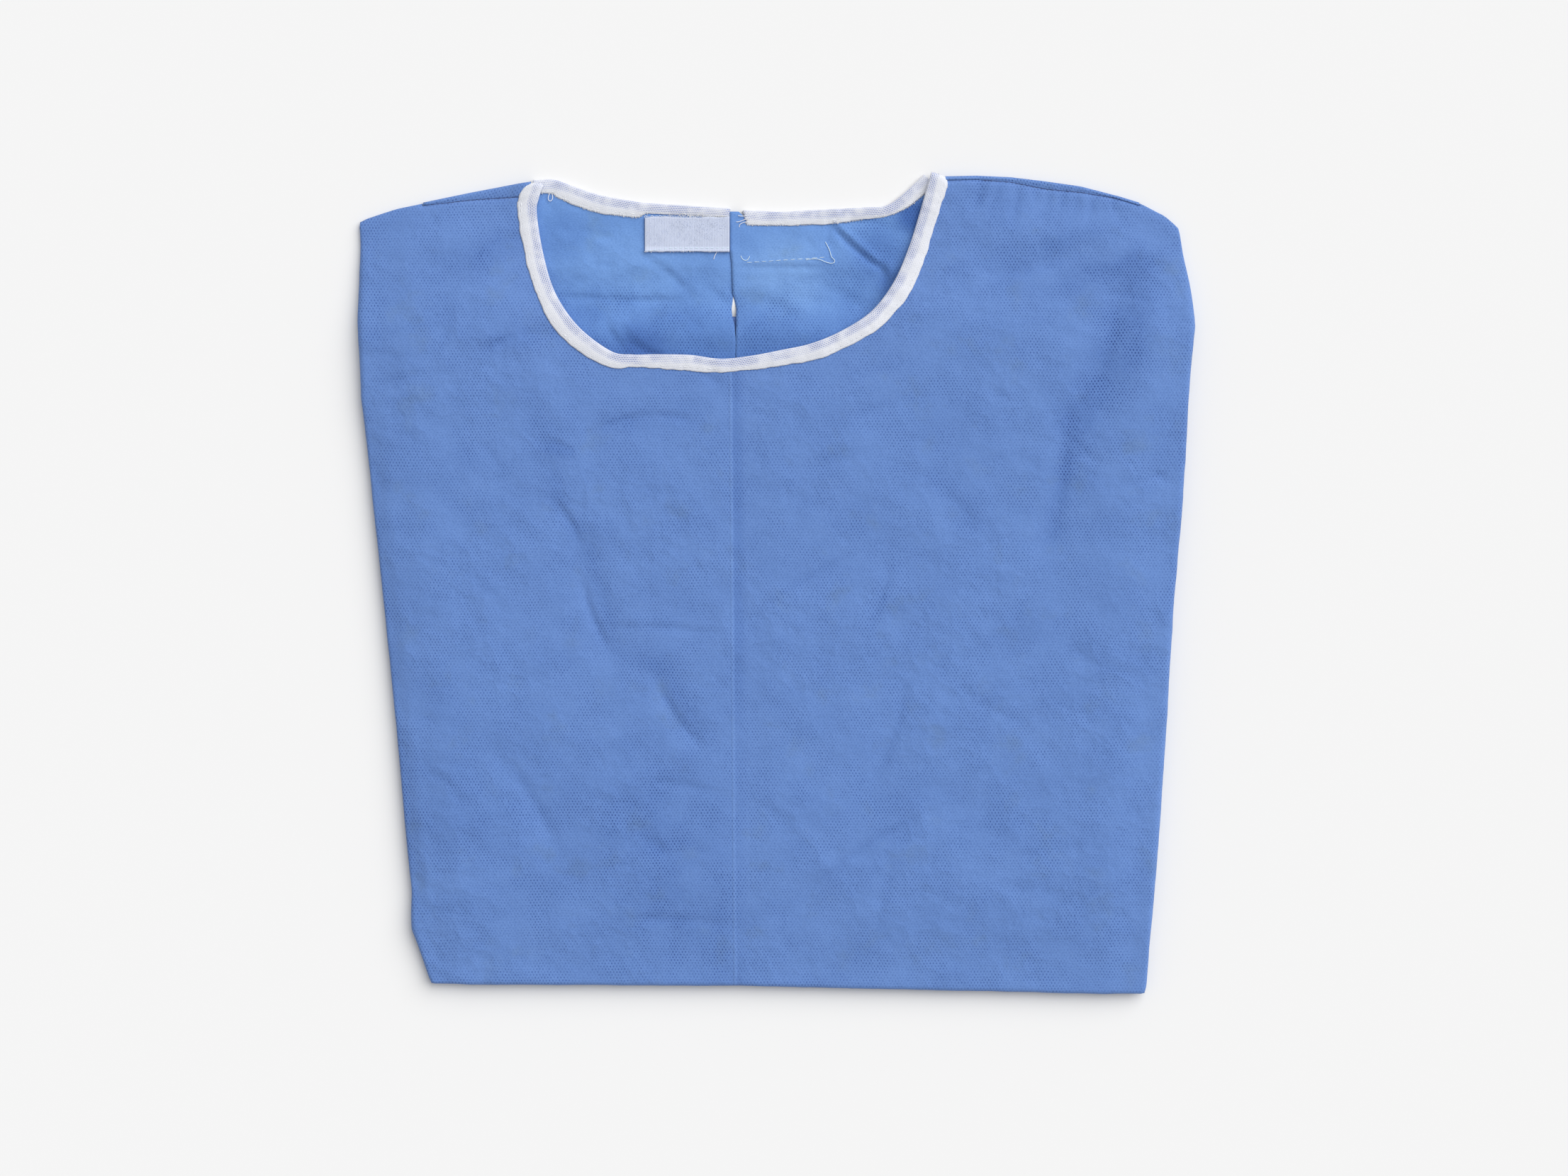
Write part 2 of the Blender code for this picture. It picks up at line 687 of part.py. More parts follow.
def fold_section(width):
    """Half section of a folded binding: depth from its fold line and height."""
    centre = BINDING_LEG + HALF
    bend = [(centre - BINDING_LEG * math.sin(turn), BINDING_LEG * math.cos(turn))
            for turn in (math.radians(a) for a in (0, 45, 90, 135, 180))]
    open_leg = BINDING_LEG + BINDING_FLARE
    return [(width, open_leg)] + bend + [(width, -open_leg)]


def build_binding(name, path, distances, height, collection, finish):
    """Binding folded round a neck edge, following the cloth that it holds."""
    mesh = bmesh.new()
    stations = []
    for distance in distances:
        fold, inward, width, cloth_in = path.at(distance)
        edge = fold + inward * cloth_in
        inner = fold + inward * (width + 4.0)
        slope = (height(*inner) - height(*edge)) / (inner - edge).length
        base = height(*edge)
        stations.append([
            place(fold.x + inward.x * s, fold.y + inward.y * s, base + slope * (s - cloth_in) + z)
            for s, z in fold_section(width)])
    grid_patch(mesh, len(stations) - 1, len(stations[0]) - 1, lambda c, r: stations[c][r])
    return add_object(name, mesh, finish, collection, WALL)


def build_tape(name, box, height, collection, finish):
    """Flat closure tape on a level stretch of a back panel."""
    left, right, low, high = box
    columns, rows = 6, 2
    mesh = bmesh.new()
    grid_patch(mesh, columns, rows, lambda c, r: place(
        mix(left, right, c / columns), mix(low, high, r / rows), height))
    return add_object(name, mesh, finish, collection, WALL)


def folded_top_y(x):
    """Upper edge of the folded layers: sleeve tops at the sides, the tail's fold between them."""
    sleeves = shoulder_y(x) - SLEEVE_TOP_INSET
    notch = ramp(x, *NOTCH_LEFT) * ramp(x, *NOTCH_RIGHT)
    return mix(sleeves, TAIL_EDGE_Y, notch)


def build_folded_layers(collection, finish):
    """Sleeves, side wings and both passes of the tail as one solid, layered at its edges."""
    columns, rows = FOLDED_COLUMNS, FOLDED_ROWS + FOLDED_TOP_ROWS
    widest = (side_x(FOLDED_WIDEST_Y, "left") + BLOCK_INSET,
              side_x(FOLDED_WIDEST_Y, "right") - BLOCK_INSET)
    mesh = bmesh.new()

    def point_at(column, row):
        share = column / columns
        top = folded_top_y(mix(*widest, share))
        foot = bottom_y(mix(*FOLDED_FEET, share)) + BLOCK_INSET
        if row <= FOLDED_ROWS:
            y = mix(foot, TAIL_TOP, row / FOLDED_ROWS)
        else:
            y = mix(TAIL_TOP, top, (row - FOLDED_ROWS) / FOLDED_TOP_ROWS)
        x = mix(side_x(y, "left") + BLOCK_INSET, side_x(y, "right") - BLOCK_INSET, share)
        slack = TAIL_EDGE_SLACK * ramp(y, TAIL_TOP - TAIL_SLACK_RUN, TAIL_EDGE_Y)
        return place(x, y, back_pile(x, y) * (1.0 - slack) - PILE_CLEAR)

    points = grid_patch(mesh, columns, rows, point_at)
    rim = [points[0, r] for r in range(rows, 0, -1)]
    rim += [points[c, 0] for c in range(columns)]
    rim += [points[columns, r] for r in range(rows)]
    rim += [points[c, rows] for c in range(columns, 0, -1)]
    around = outward([vert.co for vert in [rim[-1]] + rim + [rim[0]]])[1:-1]

    heights = []
    for vert in rim:
        top = vert.co.z / METRE
        wanted = return_height(vert.co.y / METRE) - HALF - LAY_GAP
        heights.append((top, min(max(wanted, LEAST_LOW_EDGE), top - LEAST_EDGE),
                        ramp(wanted, 1.0, 1.8)))

    def loop(z_of, reach_of):
        return [place(vert.co.x / METRE + side.x * reach_of(h), vert.co.y / METRE
                      + side.y * reach_of(h), z_of(h)) for vert, side, h in zip(rim, around, heights)]

    loops = [loop(lambda h: mix(h[1], h[0], 0.5), lambda h: EDGE_BULGE),
             loop(lambda h: h[1] + EDGE_STEP, lambda h: 0.0)]
    for row in reversed(LOW_EDGE):
        loops.append(loop(lambda h, row=row: (h[1] - EDGE_STEP) * row.share,
                          lambda h, row=row: mix(row.plain, row.layered, h[2])))
    closed_rim = rim + [rim[0]]
    line = closed_rim
    for places in loops:
        after = [mesh.verts.new(co) for co in places]
        after.append(after[0])
        for k in range(len(line) - 1):
            mesh.faces.new((line[k], line[k + 1], after[k + 1], after[k]))
        line = after
    mesh.faces.new(line[:-1])
    return add_object("folded_layers", mesh, finish, collection)


def clear_scene():
    """Remove every object."""
    for piece in list(bpy.data.objects):
        bpy.data.objects.remove(piece, do_unlink=True)


def main():
    clear_scene()
    collection = bpy.data.collections.new("visitor_gown")
    bpy.context.scene.collection.children.link(collection)
    cloth = material("blue_nonwoven", CLOTH_BLUE, 0.82)
    shade = material("blue_nonwoven_folded", CLOTH_SHADE, 0.85)
    knit = material("white_knit_binding", BINDING_WHITE, 0.9)
    loops = material("white_closure_tape", TAPE_WHITE, 0.9)

    build_front(collection, cloth)
    left_roll = (LEFT_ROLL[0] + SEAM_GAP, LEFT_ROLL[1])
    right_roll = (RIGHT_ROLL[0], RIGHT_ROLL[1] - SEAM_GAP)
    left_x = [*LEFT_OUTER, left_roll[0], *shoulder_columns("left_shoulder")[1:-1], left_roll[1],
              *LEFT_INNER]
    right_x = [*RIGHT_INNER, right_roll[0], *shoulder_columns("right_shoulder")[1:-1],
               right_roll[1], *RIGHT_OUTER]
    build_back("back_left", left_x, LEFT_BACK_PATH, left_roll, collection, cloth)
    build_back("back_right", right_x, RIGHT_BACK_PATH, right_roll, collection, cloth)

    along_front = ([0.0] + neck_columns("left_neck")[:-1] + neck_columns("right_neck")
                   + [FRONT_PATH.length])
    build_binding("neck_binding_front", FRONT_PATH, along_front, front_height, collection, knit)
    for name, path in (("neck_binding_back_left", LEFT_BACK_PATH),
                       ("neck_binding_back_right", RIGHT_BACK_PATH)):
        build_binding(name, path, steps(0.0, path.length, 12), back_height, collection, knit)
    level = back_height(0.0, 195.0)
    build_tape("loop_tape", LOOP_TAPE_BOX, level + WALL + LAY_GAP, collection, loops)
    build_tape("hook_tape", HOOK_TAPE_BOX, (level - HALF) / 2, collection, loops)
    build_folded_layers(collection, shade)


main()
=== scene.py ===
"""Visitor gown of light blue non-woven cloth, folded flat, with its binding, closure tapes and threads.

Lengths in the tables and in the shape functions are in millimetres. X runs across the gown, Y towards
its neck and Z up from the surface it lies on. Sizes that a user would change are in the sidebar's
settings, in metres.
"""

import math
from collections import namedtuple

import bmesh
import bpy
import numpy as np
from bpy.props import FloatProperty, FloatVectorProperty, IntProperty, PointerProperty
from bpy.types import Operator, Panel, PropertyGroup
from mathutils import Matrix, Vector, noise


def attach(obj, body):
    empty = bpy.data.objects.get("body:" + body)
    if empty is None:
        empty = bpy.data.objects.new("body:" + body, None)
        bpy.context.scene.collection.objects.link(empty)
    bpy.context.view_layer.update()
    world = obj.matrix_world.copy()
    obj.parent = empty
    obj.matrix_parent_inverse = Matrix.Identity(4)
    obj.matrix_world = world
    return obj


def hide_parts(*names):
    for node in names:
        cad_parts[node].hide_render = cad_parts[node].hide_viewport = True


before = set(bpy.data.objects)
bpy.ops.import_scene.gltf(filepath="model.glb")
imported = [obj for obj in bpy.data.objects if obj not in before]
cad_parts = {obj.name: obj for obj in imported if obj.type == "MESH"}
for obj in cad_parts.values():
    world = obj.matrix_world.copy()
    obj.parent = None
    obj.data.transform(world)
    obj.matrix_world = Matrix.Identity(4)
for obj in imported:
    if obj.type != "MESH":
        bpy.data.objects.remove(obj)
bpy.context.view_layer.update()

bl_info = {
    "name": "Folded visitor gown",
    "version": (1, 0, 0),
    "blender": (4, 5, 0),
    "location": "View3D > Sidebar > Visitor gown",
    "description": "Visitor gown of blue non-woven cloth, folded flat, on a plain pale floor",
    "category": "Object",
}

MM = 0.001
BODY = "root"
CUT = "cut"
# Name of the UV map that carries the share of painted shade on the front
SHADE_MAP = "bend"

# Heights of the layers, as in the solids that the shells stand for
HALF = 0.5
BACK_LIFT = 0.9
FRONT_LIFT = 2.7
PILE = 7.4
SLEEVE_PILE = 2.6
SIDE_PRESS = 1.0
BOTTOM_PRESS = 2.4
PILE_CLEAR = 0.3
TAIL_EDGE_SLACK = 0.35
BINDING_RAISE = 1.2
NECK_CORNER_RISE = 1.4
NECK_CORNER_REACH = 22.0
FRONT_NECK_PILE = 1.2
FRONT_SEAM_PILE = 0.3
SIDE_FALL = (6.0, 30.0)
BOTTOM_FALL = (6.0, 70.0)
SLEEVE_FALL = (6.0, 30.0)
SLEEVE_SIDE_SHARE = 0.6
TAIL_FOOT, TAIL_TOP = 162.0, 138.0
SLEEVE_FOOT, SLEEVE_TOP = 185.0, 125.0
FRONT_FOOT, FRONT_TOP = 208.0, 134.0
SLEEVE_UNDER_FRONT = (190.0, 130.0)
RAISE_FOOT, RAISE_TOP = 170.0, 180.0
HOLE_LEFT, SHOULDER_LEFT = -140.0, -205.0
HOLE_RIGHT, SHOULDER_RIGHT = 84.0, 150.0
RAISE_LEFT = (-175.0, HOLE_LEFT)
RAISE_RIGHT = (125.0, 92.0)

# The front's rolled edge, its puff and its unevenness
ROLL_STEPS = 8
RETURN_STEPS = (0.9, 1.8, 2.7)
RETURN_LOW, RETURN_HIGH = 0.9, 4.2
RETURN_FOOT, RETURN_TOP = 165.0, 120.0
SIDE_INSET_LOW, SIDE_INSET_HIGH = 2.6, 3.4
BOTTOM_INSET = 1.9
PUFF = 1.0
PUFF_EDGE, PUFF_FULL = 9.0, 36.0
LEFT_SLOPE, LEFT_SLOPE_RUN = 2.6, 13.0
LEFT_SLOPE_Y = (150.0, 60.0), (-192.0, -168.0)
FINE_RUN, NECK_EDGE, LOOSE_RUN = (0.5, 6.0), 5.0, (4.0, 24.0)
SEAM_DIP, SEAM_DIP_RUN = 0.55, 1.6
SEAM_SIDES = (-140.0, -150.0), (90.0, 97.0)
WAVES = ((52.0, 0.25), (21.0, 0.11), (9.0, 0.05))

CREASE_TOP_X, CREASE_FOOT_X = -24.0, -21.8
CENTRE_CREASE = ((-25.6, 118.0), (-23.0, -227.0))
LEFT_NECK_X, RIGHT_NECK_X, RIGHT_TOP_X = -141.0, 91.0, 226.6
LEFT_ROLL = (-200.0, -138.6)
RIGHT_ROLL = (92.4, 206.0)
LEFT_SEAM, RIGHT_SEAM = (-197.0, -142.0), (119.0, 203.0)
BACK_EDGE_INSET = 10.0

# Flat size and area of the cloth that each piece shows, in metres
FRONT_CUT, FOLDED_CUT = ((0.488, 0.474), 0.192), ((0.469, 0.436), 0.191)

BACK_LOWEST = 0.3
TAPES_Y = 195.0
BACK_LOOSE_Y, BACK_LOOSE_RUN = (90.0, 120.0), (2.0, 12.0)
BACK_RELIEF, BACK_WAVES, PRINT_RISE = 1.2, 0.7, 0.35
BACK_TOP_INSET = 8.0
BACK_EVEN_Y = 200.0
LEFT_CORNER_RUN, RIGHT_CORNER_RUN = 6.0, 18.0
ROLL_LEAD = 1.5
BLOCK_INSET = 9.0
SLEEVE_TOP_INSET = 24.0
TAIL_EDGE_Y = 150.0
NOTCH_LEFT = (-190.0, -180.0)
NOTCH_RIGHT = (134.0, 124.0)


def rows_of(kind, *rows):
    """Table whose rows have the columns that kind names."""
    return tuple(kind(*row) for row in rows)


SideRow = namedtuple("SideRow", "y left right")
SIDES = rows_of(
    SideRow,
    (-232.4, -195.0, 210.6),
    (-226.2, -197.0, 211.4),
    (-207.0, -203.4, 212.6),
    (-195.4, -207.6, 213.4),
    (-175.0, -207.8, 214.6),
    (-143.0, -211.0, 217.0),
    (-79.0, -216.6, 221.4),
    (-15.0, -223.0, 225.0),
    (49.0, -229.8, 230.6),
    (105.0, -235.4, 233.8),
    (145.0, -235.8, 236.6),
    (169.0, -235.4, 233.8),
    (193.0, -236.0, 230.4),
    (204.0, -237.0, 228.6),
)

BottomRow = namedtuple("BottomRow", "x y")
BOTTOM = rows_of(
    BottomRow,
    (-200.0, -226.4),
    (-20.0, -227.2),
    (65.0, -229.2),
    (125.0, -230.4),
    (212.0, -232.4),
)

ShoulderRow = namedtuple("ShoulderRow", "x top seam_drop")
SHOULDERS = rows_of(
    ShoulderRow,
    (-237.0, 204.6, 2.2),
    (-231.4, 207.2, 2.2),
    (-214.2, 212.7, 2.2),
    (-200.0, 215.8, 2.3),
    (-173.0, 221.4, 4.8),
    (-145.0, 226.6, 8.4),
    (-139.0, 227.5, 9.1),
    (90.0, 230.4, 2.9),
    (114.2, 231.0, 2.9),
    (133.0, 230.2, 3.4),
    (153.0, 227.8, 5.0),
    (172.6, 225.0, 4.0),
    (194.2, 219.4, 2.0),
    (206.0, 215.8, 2.2),
    (219.4, 209.0, 2.2),
    (226.2, 203.0, 2.2),
    (229.4, 198.6, 2.2),
)

NeckRow = namedtuple("NeckRow", "x y width cloth_in")
FRONT_NECK = rows_of(
    NeckRow,
    (-131.6, 225.2, 10.4, 9.2),
    (-134.2, 217.5, 10.6, 6.6),
    (-135.4, 209.0, 10.4, 4.8),
    (-131.6, 185.8, 9.9, 4.2),
    (-124.6, 163.6, 10.0, 4.2),
    (-111.4, 144.5, 10.8, 4.2),
    (-93.1, 130.7, 9.0, 4.0),
    (-80.9, 128.7, 6.6, 3.4),
    (-68.9, 128.8, 7.8, 3.6),
    (-48.7, 128.5, 8.8, 4.0),
    (-31.3, 126.3, 7.6, 3.6),
    (-14.1, 128.0, 7.8, 3.6),
    (2.7, 131.2, 8.4, 3.8),
    (20.1, 135.0, 9.2, 4.0),
    (37.5, 142.3, 9.4, 4.0),
    (54.1, 153.3, 10.0, 4.2),
    (66.4, 169.4, 10.7, 4.4),
    (74.8, 188.3, 10.6, 4.4),
    (81.4, 209.0, 10.2, 4.2),
    (88.0, 232.4, 11.0, 4.4),
)
LEFT_BACK_NECK = rows_of(
    NeckRow,
    (-137.6, 228.2, 7.6, 3.6),
    (-126.0, 228.4, 7.8, 3.6),
    (-117.8, 225.8, 9.2, 4.0),
    (-101.8, 220.2, 9.8, 4.0),
    (-85.8, 217.0, 9.2, 4.0),
    (-76.5, 215.6, 8.6, 4.0),
    (-71.0, 215.0, 5.6, 4.0),
    (-45.8, 213.4, 5.4, 4.0),
    (-26.2, 212.2, 5.2, 4.0),
)
RIGHT_BACK_NECK = rows_of(
    NeckRow,
    (-17.6, 211.2, 8.4, 4.0),
    (2.2, 210.2, 7.6, 4.0),
    (18.2, 211.0, 8.0, 4.0),
    (34.2, 211.8, 8.0, 4.0),
    (50.2, 212.6, 6.4, 3.6),
    (62.0, 213.6, 5.6, 3.4),
    (71.0, 219.4, 7.6, 3.8),
    (84.0, 231.4, 8.6, 3.8),
)

SlitRow = namedtuple("SlitRow", "y left right")
SLIT = rows_of(
    SlitRow,
    (-232.0, -22.0, -21.6),
    (128.0, -21.4, -22.6),
    (136.0, -21.8, -22.3),
    (146.0, -22.6, -21.9),
    (150.5, -23.8, -22.0),
    (155.5, -24.3, -21.9),
    (160.0, -23.7, -22.9),
    (164.0, -23.4, -24.0),
    (177.0, -23.4, -24.4),
    (212.5, -25.4, -26.4),
)
LAP_RISE, LAP_RUN, LAP_Y = (-0.35, 0.55), 5.0, (160.0, 166.0)
LENS_DIP, LENS_Y, LENS_RUN = 1.3, 155.0, 9.0
PANEL_CORNER_RISE, PANEL_CORNER_X = 3.2, (-18.4, -20.4)

# Broad troughs of the front
FoldRow = namedtuple("FoldRow", "x1 y1 x2 y2 width depth")
FOLDS = rows_of(
    FoldRow,
    (200.0, 171.0, 154.0, 25.0, 26.0, 1.5),
    (178.0, 189.0, 126.0, 173.0, 22.0, 0.6),
    (-100.0, 88.0, -48.0, 93.0, 22.0, 0.7),
    (-118.0, 36.0, -94.0, -35.0, 20.0, 0.9),
    (-66.0, -53.0, -44.0, -87.0, 20.0, 1.0),
    (74.0, -50.0, 54.0, -119.0, 24.0, 0.8),
    (10.0, -181.0, 98.0, -123.0, 26.0, 0.6),
    (-18.0, -23.0, 58.0, 23.0, 26.0, 0.5),
    (-154.0, -97.0, -122.0, -151.0, 24.0, 0.8),
    (-92.0, -189.0, -28.0, -191.0, 24.0, 0.6),
    (-223.0, 110.0, -198.0, -165.0, 16.0, 0.7),
    (-16.0, 110.0, -14.0, -215.0, 18.0, 0.5),
)

# Narrow creases: bow is how far the middle swings aside, lean turns a trough into a step
CreaseRow = namedtuple("CreaseRow", "x1 y1 x2 y2 bow width depth lean")
FRONT_CREASES = rows_of(
    CreaseRow,
    (194.0, 160.0, 184.0, 118.0, 2.0, 12.0, 0.55, 0.3),
    (185.0, 122.0, 162.0, 76.0, -2.0, 13.0, 0.60, 0.4),
    (164.0, 84.0, 158.0, 28.0, 2.0, 12.0, 0.45, 0.4),
    (186.0, 165.0, 213.0, 159.0, 1.5, 9.0, 0.55, 0.2),
    (178.0, 189.0, 126.0, 173.0, 3.0, 11.0, 0.45, 0.5),
    (167.0, 72.0, 186.0, 68.0, 2.0, 5.0, 0.40, 0.3),
    (170.0, 64.0, 185.0, 61.0, -1.5, 5.0, 0.32, 0.3),
    (209.0, 64.0, 225.0, 55.0, 1.5, 6.0, 0.42, 0.4),
    (194.0, 57.0, 226.0, 66.0, -2.0, 7.0, 0.40, 0.4),
    (219.0, 155.0, 231.0, 154.0, 0.5, 5.0, 0.40, 0.2),
    (227.0, 151.0, 236.0, 145.0, 0.5, 5.0, 0.35, 0.2),
    (161.0, 86.0, 183.0, 66.0, 1.5, 6.0, 0.50, 0.4),
    (163.0, 66.0, 182.0, 84.0, -1.0, 6.0, 0.36, 0.3),
    (121.0, 111.0, 135.0, 101.0, 1.0, 6.0, 0.36, 0.4),
    (123.0, 100.0, 134.0, 112.0, 1.0, 5.0, 0.28, 0.3),
    (-102.0, 86.0, -70.0, 96.0, 2.0, 7.0, 0.55, 0.5),
    (-70.0, 96.0, -46.0, 92.0, 1.0, 7.0, 0.50, 0.5),
    (-86.0, 95.0, -79.0, 88.0, 0.5, 5.0, 0.36, 0.3),
    (-126.0, 49.0, -109.0, 22.0, 2.0, 8.0, 0.50, 0.5),
    (-108.0, 2.0, -93.0, -37.0, -2.0, 7.0, 0.75, 0.5),
    (-67.0, -52.0, -43.0, -89.0, -2.5, 8.0, 0.75, 0.5),
    (-83.0, 37.0, -84.0, 22.0, 0.5, 5.0, 0.36, 0.4),
    (-96.0, -24.0, -28.0, -28.0, 2.0, 7.0, 0.42, 0.5),
    (-75.0, -110.0, -27.0, -119.0, 1.5, 8.0, 0.42, 0.5),
    (-93.0, -188.0, -27.0, -191.0, 1.5, 8.0, 0.42, 0.5),
    (-167.0, 80.0, -155.0, 66.0, 1.0, 6.0, 0.42, 0.4),
    (-135.0, 81.0, -115.0, 76.0, 1.5, 6.0, 0.40, 0.4),
    (-169.0, 130.0, -128.0, 144.0, 3.0, 9.0, 0.65, 0.3),
    (-171.0, 181.0, -152.0, 197.0, 1.5, 8.0, 0.45, 0.4),
    (-152.0, 196.0, -143.0, 196.0, 0.0, 5.0, 0.35, 0.2),
    (-231.0, 131.0, -207.0, 127.0, 1.0, 8.0, 0.38, 0.4),
    (-231.0, 112.0, -178.0, 121.0, 2.0, 9.0, 0.42, 0.4),
    (66.0, 12.0, 53.0, -26.0, 2.0, 10.0, 0.38, 0.4),
    (75.0, -54.0, 53.0, -120.0, 3.0, 12.0, 0.45, 0.4),
    (89.0, 58.0, 115.0, 30.0, 2.0, 10.0, 0.38, 0.4),
    (66.0, -154.0, 55.0, -200.0, 2.0, 10.0, 0.38, 0.4),
    (9.0, -182.0, 99.0, -122.0, 5.0, 12.0, 0.42, 0.4),
    (-18.0, -23.0, 59.0, 24.0, 4.0, 12.0, 0.38, 0.4),
    (-155.0, -96.0, -121.0, -152.0, 3.0, 12.0, 0.50, 0.4),
    (-199.0, -102.0, -173.0, -126.0, 2.0, 8.0, 0.40, 0.4),
    (133.0, -24.0, 143.0, -6.0, 1.0, 7.0, 0.32, 0.4),
    (-71.0, -151.0, -61.0, -151.0, 0.5, 9.0, 0.50, 0.0),
    (-49.0, -151.0, -39.0, -151.0, 0.5, 9.0, 0.45, 0.0),
    (-8.0, -122.0, 5.0, -136.0, 1.0, 7.0, 0.34, 0.4),
    (-228.0, 66.0, -220.0, 52.0, 0.5, 5.0, 0.40, 0.3),
    (-218.0, 66.0, -221.0, 52.0, 0.5, 5.0, 0.34, 0.3),
    (-207.0, -16.0, -185.0, -22.0, 1.0, 5.0, 0.36, 0.3),
    (-207.0, -75.0, -190.0, -77.0, 0.5, 5.0, 0.32, 0.3),
    (-203.0, -100.0, -165.0, -104.0, 1.0, 5.0, 0.34, 0.3),
    (-203.0, -183.0, -177.0, -186.0, 0.5, 5.0, 0.30, 0.3),
    (-20.5, 118.0, -19.0, -60.0, 0.0, 8.0, 0.22, 0.3),
    (-41.0, 119.0, -32.0, 112.0, 0.5, 7.0, 0.70, 0.1),
    (34.0, 96.0, 88.0, 112.0, -3.0, 12.0, 0.32, 0.4),
    (10.0, 62.0, 70.0, 78.0, 4.0, 13.0, 0.30, 0.4),
    (102.0, -60.0, 150.0, -88.0, 3.0, 13.0, 0.34, 0.4),
    (160.0, -30.0, 204.0, -52.0, -3.0, 12.0, 0.34, 0.4),
    (120.0, -168.0, 186.0, -186.0, 4.0, 14.0, 0.34, 0.4),
    (-186.0, 12.0, -150.0, -16.0, 3.0, 11.0, 0.34, 0.4),
    (-180.0, 158.0, -196.0, 120.0, 2.0, 12.0, 0.40, 0.4),
)

# Zones of painted shade on the front, along its troughs and creases, where the dots are also made
# stronger
ShadeZoneRow = namedtuple("ShadeZoneRow", "x1 y1 x2 y2 width strength")
PAINTED_SHADE_ZONES = rows_of(
    ShadeZoneRow,
    (206.0, 179.0, 198.0, 137.0, 26.0, 0.75),
    (198.0, 140.0, 171.0, 92.0, 27.0, 0.95),
    (172.0, 96.0, 156.0, 27.0, 12.0, 0.75),
    (203.0, 180.0, 166.0, 169.0, 14.0, 0.45),
    (162.0, 191.0, 130.0, 173.0, 14.0, 0.45),
    (118.0, 226.0, 132.0, 206.0, 16.0, 0.35),
    (-144.0, 195.0, -174.0, 181.0, 14.0, 0.45),
    (-160.0, 134.0, -126.0, 142.0, 14.0, 0.45),
    (-128.0, 76.0, -116.0, 74.0, 7.0, 0.90),
    (-92.0, 88.0, -50.0, 93.0, 18.0, 0.50),
    (-178.0, 74.0, -172.0, 70.0, 14.0, 0.45),
    (-134.0, 89.0, -124.0, 49.0, 16.0, 0.35),
    (-126.0, 49.0, -106.0, 21.0, 12.0, 0.45),
    (-104.0, 12.0, -94.0, -22.0, 10.0, 0.50),
    (-88.0, -40.0, -62.0, -44.0, 14.0, 0.35),
    (-64.0, -48.0, -42.0, -84.0, 14.0, 0.50),
    (-204.0, -130.0, -70.0, -150.0, 84.0, 0.30),
    (-78.0, -112.0, -52.0, -214.0, 44.0, 0.40),
    (-34.0, -120.0, -28.0, -222.0, 14.0, 0.35),
    (52.0, -128.0, 72.0, -132.0, 34.0, 0.25),
    (126.0, -134.0, 146.0, -148.0, 24.0, 0.25),
    (130.0, -208.0, 186.0, -196.0, 24.0, 0.22),
    (90.0, 58.0, 114.0, 31.0, 12.0, 0.25),
    (64.0, 8.0, 54.0, -26.0, 12.0, 0.22),
    (140.0, -24.0, 204.0, -48.0, 20.0, 0.20),
    (-222.0, 159.0, -158.0, 191.0, 14.0, 0.35),
    (-226.0, 140.0, -186.0, 148.0, 12.0, 0.30),
    (98.0, 178.0, 189.0, 200.0, 12.0, 0.38),
    (162.0, 175.0, 218.0, 182.0, 8.0, 0.35),
)
# Painted shade along the left and right edges and in the bottoms of the creases, with a cap on the
# total share
EDGE_SHADE, EDGE_SHADE_RUN, EDGE_SHADE_LEAST = 0.85, (0.6, 6.5), 0.25
EDGE_SHADE_Y = (120.0, -60.0), (-190.0, -170.0)
RIGHT_EDGE_SHADE, RIGHT_EDGE_SHADE_Y = 0.5, ((140.0, 60.0), (-60.0, 20.0))
CREASE_SHADE, MOST_SHADE = 0.75, 1.3

# Short gathers just below the right shoulder seam
GatherRow = namedtuple("GatherRow", "x length lean_x width depth")
GATHER_START, GATHER_BOW, GATHER_LEAN = 2.0, 0.8, 0.35
GATHERS = rows_of(
    GatherRow,
    (118.0, 22.0, -6.0, 7.5, 0.66),
    (128.0, 17.0, -5.0, 6.5, 0.62),
    (138.0, 24.0, -3.0, 7.5, 0.70),
    (147.0, 13.0, 1.0, 6.0, 0.60),
    (155.0, 15.0, -2.0, 6.5, 0.64),
    (163.0, 12.0, -1.0, 6.0, 0.62),
    (171.0, 13.0, -1.0, 6.0, 0.64),
    (180.0, 16.0, -2.0, 6.5, 0.62),
    (190.0, 12.0, 3.0, 6.5, 0.56),
    (-158.0, 10.0, 2.0, 6.0, 0.20),
    (-176.0, 12.0, 3.0, 7.0, 0.20),
)

BACK_CREASES = rows_of(
    CreaseRow,
    (-124.0, 164.0, -52.0, 162.0, -1.5, 6.0, 0.60, 0.5),
    (-78.0, 189.0, -47.0, 164.0, 1.5, 7.0, 0.55, 0.5),
    (-120.0, 177.0, -86.0, 181.0, 1.0, 5.0, 0.26, 0.4),
    (-116.0, 201.0, -92.0, 196.0, 1.0, 8.0, 0.34, 0.4),
    (-96.0, 148.0, -84.0, 133.0, -1.0, 7.0, 0.80, 0.4),
    (-86.0, 142.0, -62.0, 128.0, -2.0, 8.0, 0.80, 0.4),
    (-60.0, 156.0, -40.0, 143.0, 2.0, 8.0, 0.34, 0.4),
    (-40.0, 170.0, -27.0, 158.0, 1.0, 6.0, 0.40, 0.4),
    (-24.0, 179.5, 32.0, 179.0, 0.5, 5.0, 0.50, 0.5),
    (30.5, 204.0, 30.5, 190.0, 0.0, 4.5, 0.45, 0.5),
    (32.0, 204.0, 62.0, 178.0, -1.0, 5.5, 1.15, 0.80),
    (60.0, 183.0, 64.0, 168.0, 1.0, 7.0, 0.80, 0.6),
    (-14.0, 163.0, 18.0, 146.0, 3.0, 12.0, 0.45, 0.4),
    (24.0, 170.0, 52.0, 156.0, 2.0, 10.0, 0.38, 0.4),
    (40.0, 206.0, 66.0, 203.0, 1.0, 8.0, 0.38, 0.4),
)

